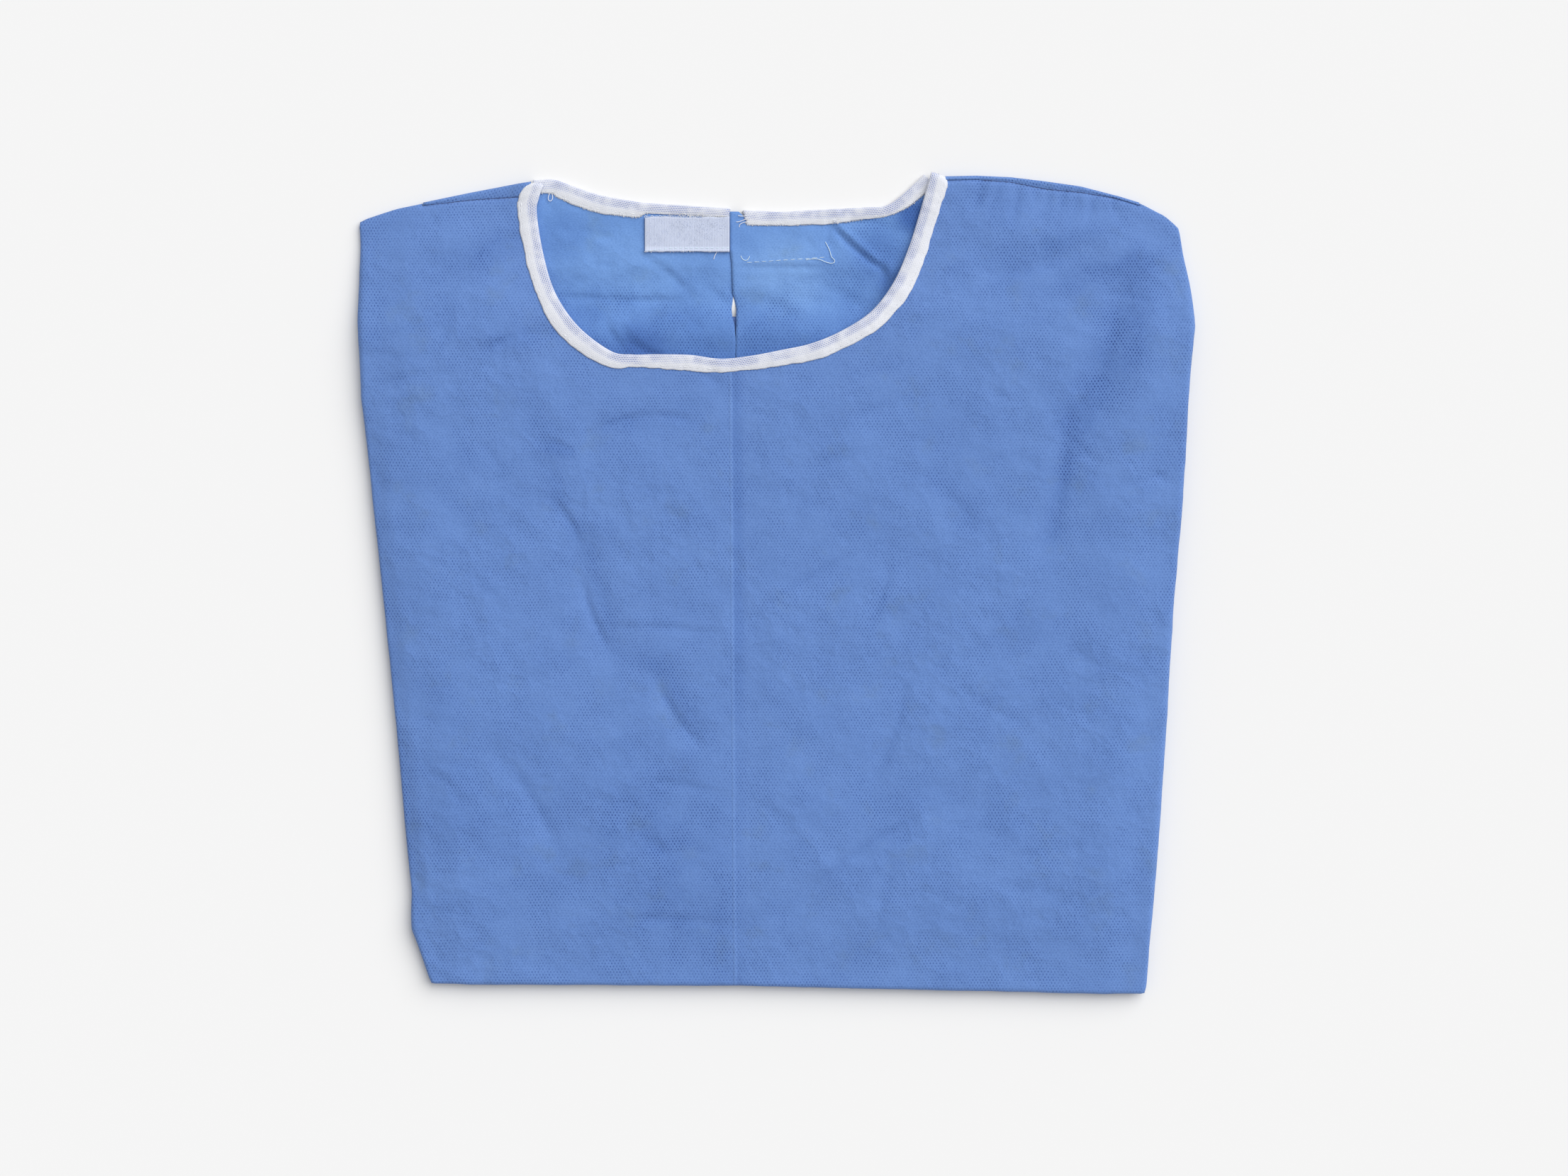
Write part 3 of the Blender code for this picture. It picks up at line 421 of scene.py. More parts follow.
# Layers of the folded sleeves, wings and tail at the edge, from the lowest up: the share of the
# height that each takes, its reach outwards, how far that reach wanders, and 1 for a fold or 0 for
# two cut edges that lie open
LayerRow = namedtuple("LayerRow", "share reach wander folded")
LAYERS = rows_of(
    LayerRow,
    (0.30, 6.4, 1.3, 1),
    (0.22, 4.6, 1.6, 0),
    (0.25, 6.9, 1.2, 1),
    (0.23, 5.2, 1.6, 1),
)

PointRow = namedtuple("PointRow", "x y lift")
HOOK_THREAD = rows_of(
    PointRow,
    (-19.8, 185.4, 0.5), (-19.3, 183.6, 0.7), (-17.6, 182.3, 0.5),
    (-15.6, 182.9, 0.4), (-14.9, 185.2, 0.6),
)
TAIL_THREAD = rows_of(
    PointRow,
    (28.0, 193.2, 0.4), (29.6, 190.4, 0.7), (31.0, 187.2, 0.8),
    (31.3, 184.4, 0.9), (33.2, 183.4, 0.8), (33.6, 181.6, 0.6),
    (31.4, 180.8, 0.7), (27.6, 181.9, 1.0), (24.6, 183.6, 0.8),
    (21.0, 183.8, 0.5), (17.0, 183.0, 0.4),
)
NECK_LOOP = rows_of(
    PointRow,
    (-127.6, 221.6, 0.4), (-128.9, 219.4, 0.8), (-129.2, 217.2, 1.0),
    (-128.0, 216.0, 0.9), (-126.6, 216.8, 0.9), (-126.2, 219.0, 0.8),
    (-127.2, 221.6, 0.4),
)
BINDING_TAILS = tuple(rows_of(PointRow, *tail) for tail in (
    ((-15.0, 206.8, 1.3), (-18.4, 205.6, 1.5), (-20.8, 204.2, 1.1),
     (-22.4, 204.6, 0.7)),
    ((-15.6, 204.4, 1.3), (-19.0, 204.6, 1.4), (-21.2, 203.0, 0.9),
     (-20.6, 201.6, 0.5)),
    ((-16.2, 208.0, 1.4), (-19.6, 207.4, 1.4), (-21.4, 208.2, 0.9)),
))
TAPE_TAIL = rows_of(
    PointRow,
    (-32.4, 188.4, 0.3), (-33.6, 187.4, 0.5), (-34.8, 185.6, 0.6),
    (-35.2, 183.4, 0.4),
)

LOOP_TAPE_BOX = (-74.2, -26.2, 187.6, 207.2)
HOOK_TAPE_BOX = (-19.0, 30.0, 181.5, 201.8)
TAPE_STITCH_Y = 189.6
HOOK_STITCH = ((-15.0, 181.6), (26.0, 184.4))


def length_setting(name, description, default):
    """Length in metres for the sidebar."""
    return FloatProperty(name=name, description=description, default=default, min=0.0,
                         unit="LENGTH", precision=5)


def colour_setting(name, description, default):
    """Linear colour for the sidebar."""
    return FloatVectorProperty(name=name, description=description, default=default, size=4,
                               subtype="COLOR", min=0.0, max=1.0)


class GownClothSettings(PropertyGroup):
    """The non-woven cloth and its embossed dots."""
    wall: length_setting("Wall", "Thickness of the cloth", 0.0004)
    dot_pitch: length_setting("Dot pitch", "Distance of the embossed dots in a row", 0.00182)
    row_pitch: length_setting("Row pitch", "Distance of the rows of dots", 0.00158)
    dot_radius: length_setting("Dot radius", "Half the width of a dot", 0.00044)
    relief: FloatProperty(name="Relief", description="Share of the creases' depth", default=1.5,
                          min=0.0, max=3.0)
    outer: colour_setting("Outer side", "Colour of the cloth's dotted outer side",
                          (0.153, 0.284, 0.632, 1.0))
    inner: colour_setting("Inner side", "Colour of the cloth's smoother inner side",
                          (0.178, 0.350, 0.735, 1.0))
    # Darker copy of the cloth's colour, which paints shade on the layers folded behind
    shaded_layers: colour_setting("Folded layers", "Colour of the layers folded behind",
                           (0.118, 0.215, 0.525, 1.0))


class GownBindingSettings(PropertyGroup):
    """The knitted neck binding."""
    wall: length_setting("Wall", "Thickness of the knit", 0.00045)
    crown: length_setting("Crown", "Rise of the folded binding over the cloth", 0.00115)
    stitch_pitch: length_setting("Stitch pitch", "Distance of the knit's dashes", 0.00135)
    course_pitch: length_setting("Course pitch", "Distance of the knit's rows", 0.00098)
    colour: colour_setting("Knit", "Colour of the knit", (0.87, 0.88, 0.91, 1.0))
    shade: colour_setting("Dashes", "Colour that shows between the stitches",
                          (0.26, 0.33, 0.66, 1.0))


class GownTapeSettings(PropertyGroup):
    """The hook and loop tapes of the neck closure."""
    wall: length_setting("Wall", "Thickness of the tapes", 0.0008)
    rib_pitch: length_setting("Rib pitch", "Distance of the tape's ribs", 0.00070)
    pile: length_setting("Pile", "Size of the loops", 0.00042)
    density: FloatProperty(name="Density", description="Loops on each square metre",
                           default=2200000.0, min=0.0)
    colour: colour_setting("Tape", "Colour of the tape", (0.60, 0.66, 0.83, 1.0))


class GownThreadSettings(PropertyGroup):
    """Sewing threads and the binding's frayed edge."""
    radius: length_setting("Radius", "Half the thickness of the sewing thread", 0.00020)
    stitch: length_setting("Stitch", "Length of a stitch", 0.0026)
    gap: length_setting("Gap", "Gap between two stitches", 0.0007)
    fray: length_setting("Fray", "Size of the loops along the knit's cut edge", 0.0010)
    seed: IntProperty(name="Seed", description="Seed of the loops' turns", default=7, min=0)
    white: colour_setting("White thread", "Colour of the white thread", (0.93, 0.94, 0.96, 1.0))
    blue: colour_setting("Pale thread", "Colour of the pale blue thread", (0.68, 0.86, 0.96, 1.0))
    dark: colour_setting("Seam thread", "Colour of the shoulder seams' thread",
                         (0.060, 0.105, 0.285, 1.0))


class GownStageSettings(PropertyGroup):
    """Camera, light and floor."""
    view_width: length_setting("View width", "Width of what the camera sees", 0.8848)
    view_x: FloatProperty(name="View X", description="Middle of the view across", default=0.0046,
                          unit="LENGTH")
    view_y: FloatProperty(name="View Y", description="Middle of the view along", default=-0.0028,
                          unit="LENGTH")
    camera_height: length_setting("Camera height", "Height of the camera", 2.01)
    sight_height: length_setting("Sight height", "Height that the view width is measured at", 0.01)
    key: FloatProperty(name="Key", description="Strength of the key light", default=2.64, min=0.0)
    key_size: FloatProperty(name="Key size", description="Softness of the key light", default=1.15,
                            subtype="ANGLE", min=0.0)
    key_tilt: FloatProperty(name="Key tilt", description="Tilt of the key light from overhead",
                            default=0.74, subtype="ANGLE")
    key_turn: FloatProperty(name="Key turn", description="Side that the key light comes from",
                            default=0.80, subtype="ANGLE")
    fill: FloatProperty(name="Fill", description="Strength of the even light", default=0.40,
                        min=0.0)
    floor: colour_setting("Floor", "Colour of the floor", (0.90, 0.90, 0.90, 1.0))
    reach: length_setting("Floor reach", "Half the side of the floor", 60.0)


SETTINGS = {
    "gown_cloth": GownClothSettings,
    "gown_binding": GownBindingSettings,
    "gown_tape": GownTapeSettings,
    "gown_thread": GownThreadSettings,
    "gown_stage": GownStageSettings,
}


def ramp(value, start, end):
    """Smooth step from 0 at start to 1 at end."""
    share = np.clip((np.asarray(value, float) - start) / (end - start), 0.0, 1.0)
    return share * share * (3.0 - 2.0 * share)


def mix(low, high, share):
    """Value between low and high."""
    return low + (high - low) * share


def lookup(rows, at, key, column):
    """Column of a table at places between its rows."""
    keys = [getattr(row, key) for row in rows]
    values = [getattr(row, column) for row in rows]
    return np.interp(at, keys, values)


def side_x(y, side):
    """Outline of the left or right edge."""
    return lookup(SIDES, y, "y", side)


def bottom_y(x):
    """Outline of the bottom fold."""
    return lookup(BOTTOM, x, "x", "y")


def shoulder_y(x):
    """Outline of the shoulders' top edge."""
    return lookup(SHOULDERS, x, "x", "top")


def seam_y(x):
    """Shoulder seam, where front and back panel meet."""
    return shoulder_y(x) - lookup(SHOULDERS, x, "x", "seam_drop")


class NeckPath:
    """Smooth curve through the rows of a neck edge, read by distance along it."""

    SAMPLES = 16

    def __init__(self, rows):
        table = np.array(rows)
        table = np.vstack([2 * table[0] - table[1], table, 2 * table[-1] - table[-2]])
        points = [self.between(table[i - 1:i + 3], k / self.SAMPLES)
                  for i in range(1, len(table) - 2) for k in range(self.SAMPLES)]
        self.points = np.array(points + [table[-2]])
        steps = np.linalg.norm(np.diff(self.points[:, :2], axis=0), axis=1)
        self.along = np.concatenate([[0.0], np.cumsum(steps)])
        self.length = float(self.along[-1])

    @staticmethod
    def between(four, t):
        """Point of a smooth curve between the middle two of four rows."""
        a, b, c, d = four
        return 0.5 * (2 * b + (c - a) * t + (2 * a - 5 * b + 4 * c - d) * t * t
                      + (3 * b - 3 * c + d - a) * t ** 3)

    def column(self, distance, k):
        """One column of the curve at distances along it."""
        return np.interp(distance, self.along, self.points[:, k])

    def at(self, distance):
        """Fold line points, directions into the cloth, widths and cloth depths."""
        low = np.maximum(distance - 1.0, 0.0)
        high = np.minimum(distance + 1.0, self.length)
        run = np.stack([self.column(high, k) - self.column(low, k) for k in (0, 1)], axis=-1)
        run /= np.linalg.norm(run, axis=-1, keepdims=True)
        inward = np.stack([run[..., 1], -run[..., 0]], axis=-1)
        fold = np.stack([self.column(distance, 0), self.column(distance, 1)], axis=-1)
        return fold, inward, self.column(distance, 2), self.column(distance, 3)

    def cloth_edge(self, distance):
        """Points of the cloth edge inside the binding."""
        fold, inward, _, cloth_in = self.at(np.asarray(distance, float))
        return fold + inward * cloth_in[..., None]

    def clear_of(self, x, y):
        """Distance of points from the fold line."""
        near = np.full(np.shape(x), np.inf)
        for px, py in self.points[::3, :2]:
            near = np.minimum(near, np.hypot(x - px, y - py))
        return near


FRONT_PATH = NeckPath(FRONT_NECK)
LEFT_BACK_PATH = NeckPath(LEFT_BACK_NECK)
RIGHT_BACK_PATH = NeckPath(RIGHT_BACK_NECK)


def waves(x, y, seed, rows=WAVES):
    """Soft unevenness of cloth that lies loose, from a few sizes of swell."""
    x, y = np.broadcast_arrays(np.asarray(x, float), np.asarray(y, float))
    total = np.zeros(x.shape)
    for size, height in rows:
        swell = [noise.noise(Vector((a / size, b / size, seed)))
                 for a, b in zip(x.ravel(), y.ravel())]
        total += height * np.array(swell).reshape(x.shape)
    return total


CREASE_TAPER, CREASE_SHARP, CREASE_FADE, CREASE_STEP = 0.75, 2.6, 2.0, 2.3


def crease_parts(row, x, y):
    """Bell across a crease that fades past its ends, and the place across it."""
    run = np.array((row.x2 - row.x1, row.y2 - row.y1))
    length = float(np.hypot(*run))
    ahead = run / length
    t = ((x - row.x1) * ahead[0] + (y - row.y1) * ahead[1]) / length
    bow = 4.0 * row.bow * np.clip(t * (1.0 - t), 0.0, None)
    aside = (y - row.y1) * ahead[0] - (x - row.x1) * ahead[1] - bow
    beyond = np.clip(np.abs(t - 0.5) - 0.5, 0.0, None) * length
    taper = 1.0 - CREASE_TAPER * np.clip(np.abs(2.0 * t - 1.0), 0.0, 1.0) ** 3
    q = CREASE_SHARP * aside / row.width
    return taper * np.exp(-q * q) * np.exp(-((CREASE_FADE * beyond / row.width) ** 2)), q


def crease_relief(rows, x, y):
    """Troughs and steps of a table of creases."""
    relief = np.zeros(np.shape(x))
    share = bpy.context.scene.gown_cloth.relief
    for row in rows:
        bell, q = crease_parts(row, x, y)
        step = CREASE_STEP * row.lean * q
        relief += share * row.depth * bell * (step - (1.0 - abs(row.lean)))
    return relief


def crease_shade_lines(rows, x, y):
    """Painted shade: narrow dark lines in the bottoms of the creases."""
    return sum(row.depth * crease_parts(row, x, y)[0] ** 4 for row in rows)


def trough(row, x, y):
    """1 along the line of a table's row, fading away from it."""
    run = np.array((row.x2 - row.x1, row.y2 - row.y1))
    share = ((x - row.x1) * run[0] + (y - row.y1) * run[1]) / float(run @ run)
    share = np.clip(share, 0.0, 1.0)
    away = np.hypot(x - row.x1 - run[0] * share, y - row.y1 - run[1] * share)
    return np.exp(-((2.0 * away / row.width) ** 2))


def both_ramps(value, spans):
    """Share that rises over the first span and falls off past the second."""
    return ramp(value, *spans[0]) * ramp(value, *spans[1])


def painted_shade(x, y):
    """Share of painted shade on the front: along its troughs, in the bottoms of its creases and at its
    left and right edges.
    """
    total = sum(row.strength * trough(row, x, y) for row in PAINTED_SHADE_ZONES)
    total += CREASE_SHADE * crease_shade_lines((*FRONT_CREASES, *gather_rows()), x, y)
    edge = EDGE_SHADE * (1.0 - ramp(x - side_x(y, "left"), *EDGE_SHADE_RUN))
    edge *= both_ramps(y, EDGE_SHADE_Y) * (1.0 - EDGE_SHADE_LEAST) + EDGE_SHADE_LEAST
    right = 1.0 - ramp(side_x(y, "right") - x, *EDGE_SHADE_RUN)
    edge += RIGHT_EDGE_SHADE * right * both_ramps(y, RIGHT_EDGE_SHADE_Y)
    return np.clip(total + edge, 0.0, MOST_SHADE)


def gather_rows():
    """The gathers as creases that start at the shoulder seam."""
    rows = []
    for row in GATHERS:
        top = float(seam_y(row.x)) + GATHER_START
        rows.append(CreaseRow(row.x, top, row.x + row.lean_x, top - row.length, GATHER_BOW,
                              row.width, row.depth, GATHER_LEAN))
    return rows


def hole_share(x):
    """1 across the neck hole, fading to 0 on the shoulders."""
    return ramp(x, SHOULDER_LEFT, HOLE_LEFT) * ramp(x, SHOULDER_RIGHT, HOLE_RIGHT)


def side_distance(x, y):
    """Distance inwards from the nearer side edge."""
    return np.minimum(x - side_x(y, "left"), side_x(y, "right") - x)


def pressed_pile(x, y):
    """Height of the full pile, pressed thinner towards the sides and the bottom fold."""
    press = SIDE_PRESS * (1.0 - ramp(side_distance(x, y), *SIDE_FALL))
    return PILE - press - BOTTOM_PRESS * (1.0 - ramp(y - bottom_y(x), *BOTTOM_FALL))


def sleeve_share(x, y):
    """1 over the folded sleeves, falling to 0 at the shoulders' top edge."""
    share = mix(SLEEVE_SIDE_SHARE, 1.0, ramp(side_distance(x, y), *SIDE_FALL))
    return ramp(shoulder_y(x) - y, *SLEEVE_FALL) * share


def back_pile(x, y):
    """Height of what the back panels lie on."""
    full = pressed_pile(x, y)
    centre = full * ramp(y, TAIL_FOOT, TAIL_TOP)
    side = mix(SLEEVE_PILE * sleeve_share(x, y), full, ramp(y, SLEEVE_FOOT, SLEEVE_TOP))
    return mix(side, centre, hole_share(x))


def back_base(x, y):
    """Middle of the back panels' cloth, raised where the neck binding folds round it."""
    raised = ramp(y, RAISE_FOOT, RAISE_TOP) * ramp(x, *RAISE_LEFT) * ramp(x, *RAISE_RIGHT)
    return back_pile(x, y) + BACK_LIFT + BINDING_RAISE * raised


def slit_rise(x, y, side):
    """Rise of the right panel over the left one, and the dip beside the lens below it."""
    near = np.exp(-(((x - lookup(SLIT, y, "y", "left")) / LAP_RUN) ** 2))
    lap = LAP_RISE[side] * ramp(y, *LAP_Y)
    return near * (lap - LENS_DIP * np.exp(-(((y - LENS_Y) / LENS_RUN) ** 2)))


def tape_print(x, y):
    """Raised print of the hook tape that lies under the right back panel."""
    left, right, low, high = HOOK_TAPE_BOX
    return (ramp(x, left - 1.5, left + 1.5) * ramp(x, right + 1.5, right - 1.0)
            * ramp(y, low - 1.8, low + 1.0) * ramp(y, high + 2.0, high - 2.0))


def back_height(x, y):
    """Back panels' cloth with its creases and the tape's print."""
    x, y = np.asarray(x, float), np.asarray(y, float)
    loose = ramp(y, *BACK_LOOSE_Y) * ramp(shoulder_y(x) - y, *BACK_LOOSE_RUN)
    relief = BACK_RELIEF * crease_relief(BACK_CREASES, x, y) + BACK_WAVES * waves(x, y, 3.1)
    height = back_base(x, y) + loose * relief + PRINT_RISE * tape_print(x, y)
    return np.maximum(height, BACK_LOWEST)


def tape_level():
    """Height of the left back panel's cloth under the loop tape."""
    return float(back_base(0.0, TAPES_Y))


def neck_corner(x, y):
    """Rise of the front over the seams at the two ends of its neck edge."""
    ends = (FRONT_NECK[0], FRONT_NECK[-1])
    near = np.minimum(*[np.hypot(x - end.x, y - end.y) for end in ends])
    return NECK_CORNER_RISE * np.exp(-((near / NECK_CORNER_REACH) ** 2))


def fold_depth(x, y):
    """Depth of the front's broad troughs."""
    return sum(fold.depth * trough(fold, x, y) for fold in FOLDS)


def front_base(x, y):
    """Middle of the front's cloth without its relief."""
    full = pressed_pile(x, y)
    centre = mix(FRONT_NECK_PILE, full, ramp(y, FRONT_FOOT, FRONT_TOP))
    shoulder = FRONT_SEAM_PILE + (SLEEVE_PILE - FRONT_SEAM_PILE) * sleeve_share(x, y)
    side = mix(shoulder, full, ramp(y, *SLEEVE_UNDER_FRONT))
    return mix(side, centre, hole_share(x)) + BACK_LIFT + FRONT_LIFT + neck_corner(x, y)


def front_height(x, y):
    """Front's cloth with its puff, troughs, creases, slope at the left side and seam dip."""
    x, y = np.asarray(x, float), np.asarray(y, float)
    from_neck = FRONT_PATH.clear_of(x, y)
    from_side = np.minimum(side_distance(x, y), y - bottom_y(x))
    inside = np.minimum(np.minimum(from_side, shoulder_y(x) - y), from_neck)
    soft = ramp(inside, PUFF_EDGE, PUFF_FULL) * (PUFF - fold_depth(x, y))
    near = ramp(np.minimum(from_side, from_neck - NECK_EDGE), *FINE_RUN)
    fine = crease_relief(FRONT_CREASES, x, y) + crease_relief(gather_rows(), x, y)
    loose = ramp(inside, *LOOSE_RUN) * waves(x, y, 8.4)
    slope = LEFT_SLOPE * (1.0 - ramp(x - side_x(y, "left"), 1.0, LEFT_SLOPE_RUN))
    slope *= both_ramps(y, LEFT_SLOPE_Y)
    return front_base(x, y) + soft + near * fine + loose - slope - seam_dip(x, y)


def seam_dip(x, y):
    """Groove that the stitches pull into the cloth along the shoulder seams."""
    on_shoulder = np.maximum(*[ramp(x, *side) for side in SEAM_SIDES])
    away = np.abs(y - seam_y(x))
    return SEAM_DIP * on_shoulder * np.exp(-((away / SEAM_DIP_RUN) ** 2))


def return_height(y):
    """Middle of the front's cloth where it has turned back under its rolled edge."""
    return mix(RETURN_LOW, RETURN_HIGH, ramp(y, RETURN_FOOT, RETURN_TOP))


def placed(name, data):
    """New object of some data in the scene."""
    piece = bpy.data.objects.new(name, data)
    bpy.context.scene.collection.objects.link(piece)
    return piece


class Cloth:
    """Points, faces and flat places of a piece while it is drawn, in millimetres."""

    def __init__(self):
        self.points = []
        self.cut = []
        self.faces = []

    def add(self, points, cut):
        """Add points with their places on the flat cut; gives their numbers."""
        first = len(self.points)
        self.points.extend(np.asarray(points, float).reshape(-1, 3).tolist())
        self.cut.extend(np.asarray(cut, float).reshape(-1, 2).tolist())
        return np.arange(first, len(self.points))

    def grid(self, points, cut):
        """Add a grid of points, columns by rows, and its faces."""
        columns, rows = points.shape[:2]
        ids = self.add(points, cut).reshape(columns, rows)
        corners = np.stack([ids[:-1, :-1], ids[1:, :-1], ids[1:, 1:], ids[:-1, 1:]], axis=-1)
        self.faces.extend(corners.reshape(-1, 4).tolist())
        return ids

    def join(self, line, after):
        """Faces between two lines of points."""
        corners = np.stack([line[:-1], line[1:], after[1:], after[:-1]], axis=-1)
        self.faces.extend(corners.tolist())
        return after

    def make(self, name, finish, wall=0.0, bend=None):
        """Object of the drawn piece; a wall in metres makes an open surface a thin shell, and bend
        gives the share of painted shade at each point, kept in a UV map.
        """
        data = bpy.data.meshes.new(name)
        data.from_pydata((np.array(self.points) * MM).tolist(), [], self.faces)
        data.materials.append(finish)
        piece = placed(name, data)
        turn_outwards(data)
        places = np.array(self.cut) * MM
        corners = np.zeros(len(data.loops), np.int32)
        data.loops.foreach_get("vertex_index", corners)
        data.uv_layers.new(name=CUT).data.foreach_set("uv", places[corners].ravel())
        # Share of painted shade at each point, carried to the material in a UV map
        if bend:
            share = bend(*np.array(self.points)[:, :2].T)[corners]
            share = np.column_stack([share, np.zeros_like(share)])
            data.uv_layers.new(name=SHADE_MAP).data.foreach_set("uv", share.ravel())
        data.shade_smooth()
        if wall:
            shell = piece.modifiers.new("wall", "SOLIDIFY")
            shell.thickness = wall
            shell.offset = 0.0
            shell.use_quality_normals = True
            bake(piece)
        return piece


def turn_outwards(data):
    """Recalculate the faces' normals."""
    drawn = bmesh.new()
    drawn.from_mesh(data)
    bmesh.ops.recalc_face_normals(drawn, faces=drawn.faces)
    drawn.to_mesh(data)
    drawn.free()


def bake(piece):
    """Turn a piece with live modifiers into a plain mesh."""
    evaluated = piece.evaluated_get(bpy.context.evaluated_depsgraph_get())
    plain = bpy.data.meshes.new_from_object(evaluated)
    plain.name = piece.name
    drawn = piece.data
    piece.modifiers.clear()
    piece.data = plain
    bpy.data.meshes.remove(drawn)
    return piece


def settle(piece, node):
    """Put a finished piece on its body and in place of its solid."""
    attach(piece, BODY)
    if node:
        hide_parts(node)


def joined(tree, kind, inputs=(), **settings):
    """New node of a tree with its inputs set or linked; gives the node."""
    node = tree.nodes.new(kind)
    for name, value in settings.items():
        setattr(node, name, value)
    for name, value in dict(inputs).items():
        if isinstance(value, bpy.types.NodeSocket):
            tree.links.new(value, node.inputs[name])
        else:
            node.inputs[name].default_value = value
    return node


def number(tree, operation, a, b=0.0):
    """Output of a Math node."""
    return joined(tree, "ShaderNodeMath", {0: a, 1: b}, operation=operation).outputs[0]


def plus(tree, a, b):
    """Sum of two values."""
    return number(tree, "ADD", a, b)


def minus(tree, a, b):
    """Difference of two values."""
    return number(tree, "SUBTRACT", a, b)


def times(tree, a, b):
    """Product of two values."""
    return number(tree, "MULTIPLY", a, b)


def vector(tree, operation, a, b=(0.0, 0.0, 0.0)):
    """Output of a Vector Math node."""
    node = joined(tree, "ShaderNodeVectorMath", {0: a, 1: b}, operation=operation)
    return node.outputs["Value" if operation == "LENGTH" else "Vector"]


def smooth(tree, value, start, end, low=0.0, high=1.0):
    """Smooth step of a value."""
    node = joined(tree, "ShaderNodeMapRange", {
        "Value": value, "From Min": start, "From Max": end, "To Min": low, "To Max": high,
    }, interpolation_type="SMOOTHSTEP")
    return node.outputs["Result"]


def parts_of(tree, place):
    """X, Y and Z of a place."""
    return joined(tree, "ShaderNodeSeparateXYZ", {0: place}).outputs


def stretched(tree, place, x, y):
    """Place whose X and Y are multiplied, which makes a pattern finer that way."""
    return vector(tree, "MULTIPLY", place, (x, y, 1.0))


def blend(tree, share, low, high, kind="MIX"):
    """Output of a colour mix."""
    node = tree.nodes.new("ShaderNodeMix")
    node.data_type = "RGBA"
    node.blend_type = kind
    ends = {"Factor": share, "A": low, "B": high}
    for socket in node.inputs:
        if not socket.enabled or socket.name not in ends:
            continue
        value = ends[socket.name]
        if isinstance(value, bpy.types.NodeSocket):
            tree.links.new(value, socket)
        else:
            socket.default_value = value
    return next(s for s in node.outputs if s.enabled)


def toned(tree, tint, share, factors):
    """Colour multiplied by factors where share is 1."""
    return blend(tree, share, tint, (*factors, 1.0), "MULTIPLY")


def varied(colour, factors):
    """Colour of the settings multiplied by a factor for each part, at most 1."""
    return tuple(min(part * factor, 1.0) for part, factor in zip(colour[:3], factors)) + (1.0,)


def speckle(tree, place, size, detail=2.0, roughness=0.5):
    """Noise of a size in metres."""
    node = joined(tree, "ShaderNodeTexNoise", {
        "Vector": place, "Scale": 1.0 / size, "Detail": detail, "Roughness": roughness})
    return node.outputs[0]


def facet(tree, place, size, wander):
    """Height of crumpled cloth: flat facets of a size that meet in sharp uneven creases."""
    noisy = joined(tree, "ShaderNodeTexNoise", {"Vector": place, "Scale": 0.9 / size, "Detail": 3.0})
    bent = vector(tree, "SUBTRACT", noisy.outputs["Color"], (0.5, 0.5, 0.5))
    bent = vector(tree, "MULTIPLY", bent, (2.0 * wander, 2.0 * wander, 0.0))
    cells = joined(tree, "ShaderNodeTexVoronoi", {"Vector": vector(tree, "ADD", place, bent),
                                                  "Scale": 1.0 / size})
    return cells.outputs["Distance"]


def lattice(tree, place, across, along, squash=1.0):
    """Distance to the nearest point of a staggered lattice; squash makes its dots long in X."""
    size = (across, 2.0 * along, 1.0)
    found = []
    for shift in (0.0, 0.5):
        cell = vector(tree, "DIVIDE", place, size)
        cell = vector(tree, "FRACTION", vector(tree, "ADD", cell, (shift, shift, 0.0)))
        cell = vector(tree, "SUBTRACT", cell, (0.5, 0.5, 0.0))
        cell = vector(tree, "MULTIPLY", cell, (across * squash, 2.0 * along, 0.0))
        found.append(vector(tree, "LENGTH", cell))
    return number(tree, "MINIMUM", *found)


CLOTH_ROUGHNESS, CLOTH_SHEEN = 0.78, 0.10


def new_material(name, roughness, sheen=0.0):
    """Material whose shader has its even values set; gives it with its tree and shader."""
    made = bpy.data.materials.new(name)
    made.use_nodes = True
    shader = made.node_tree.nodes["Principled BSDF"]
    shader.inputs["Roughness"].default_value = roughness
    shader.inputs["Specular IOR Level"].default_value = 0.25
    shader.inputs["Sheen Weight"].default_value = sheen
    shader.inputs["Sheen Roughness"].default_value = 0.6
    return made, made.node_tree, shader


def raise_surface(tree, shader, height, depth, strength=1.0):
    """Bump of a height between 0 and 1 over a depth in metres."""
    bump = joined(tree, "ShaderNodeBump", {"Height": height, "Distance": depth,
                                           "Strength": strength})
    tree.links.new(bump.outputs["Normal"], shader.inputs["Normal"])


def cloth_place(tree):
    """Place on the flat cut, with the slight warp of a cloth that has been handled."""
    place = joined(tree, "ShaderNodeUVMap", uv_map=CUT).outputs["UV"]
    warp = joined(tree, "ShaderNodeTexNoise", {"Vector": place, "Scale": 26.0, "Detail": 2.0})
    warp = vector(tree, "SUBTRACT", warp.outputs["Color"], (0.5, 0.5, 0.5))
    return place, vector(tree, "ADD", place, vector(tree, "MULTIPLY", warp, (0.0026, 0.0026, 0.0)))


def spot(tree, place, at, radius):
    """1 at a place in metres, fading to 0 at a radius."""
    away = vector(tree, "MULTIPLY", vector(tree, "SUBTRACT", place, (*at, 0.0)), (1.0, 1.0, 0.0))
    return smooth(tree, vector(tree, "LENGTH", away), radius, radius * 0.25)


def dotted(tree, place, cloth):
    """Embossed dots of uneven strength; the warp is that of a cloth that has been handled."""
    away = lattice(tree, place, cloth.dot_pitch, cloth.row_pitch, 1.35)
    dimple = smooth(tree, away, cloth.dot_radius * 2.0, cloth.dot_radius * 0.1)
    for size, low, high, least in ((0.020, 0.34, 0.64, 0.40), (0.0021, 0.25, 0.65, 0.35)):
        patchy = smooth(tree, speckle(tree, place, size, 2.0), low, high, least, 1.0)
        dimple = times(tree, dimple, patchy)
    return dimple


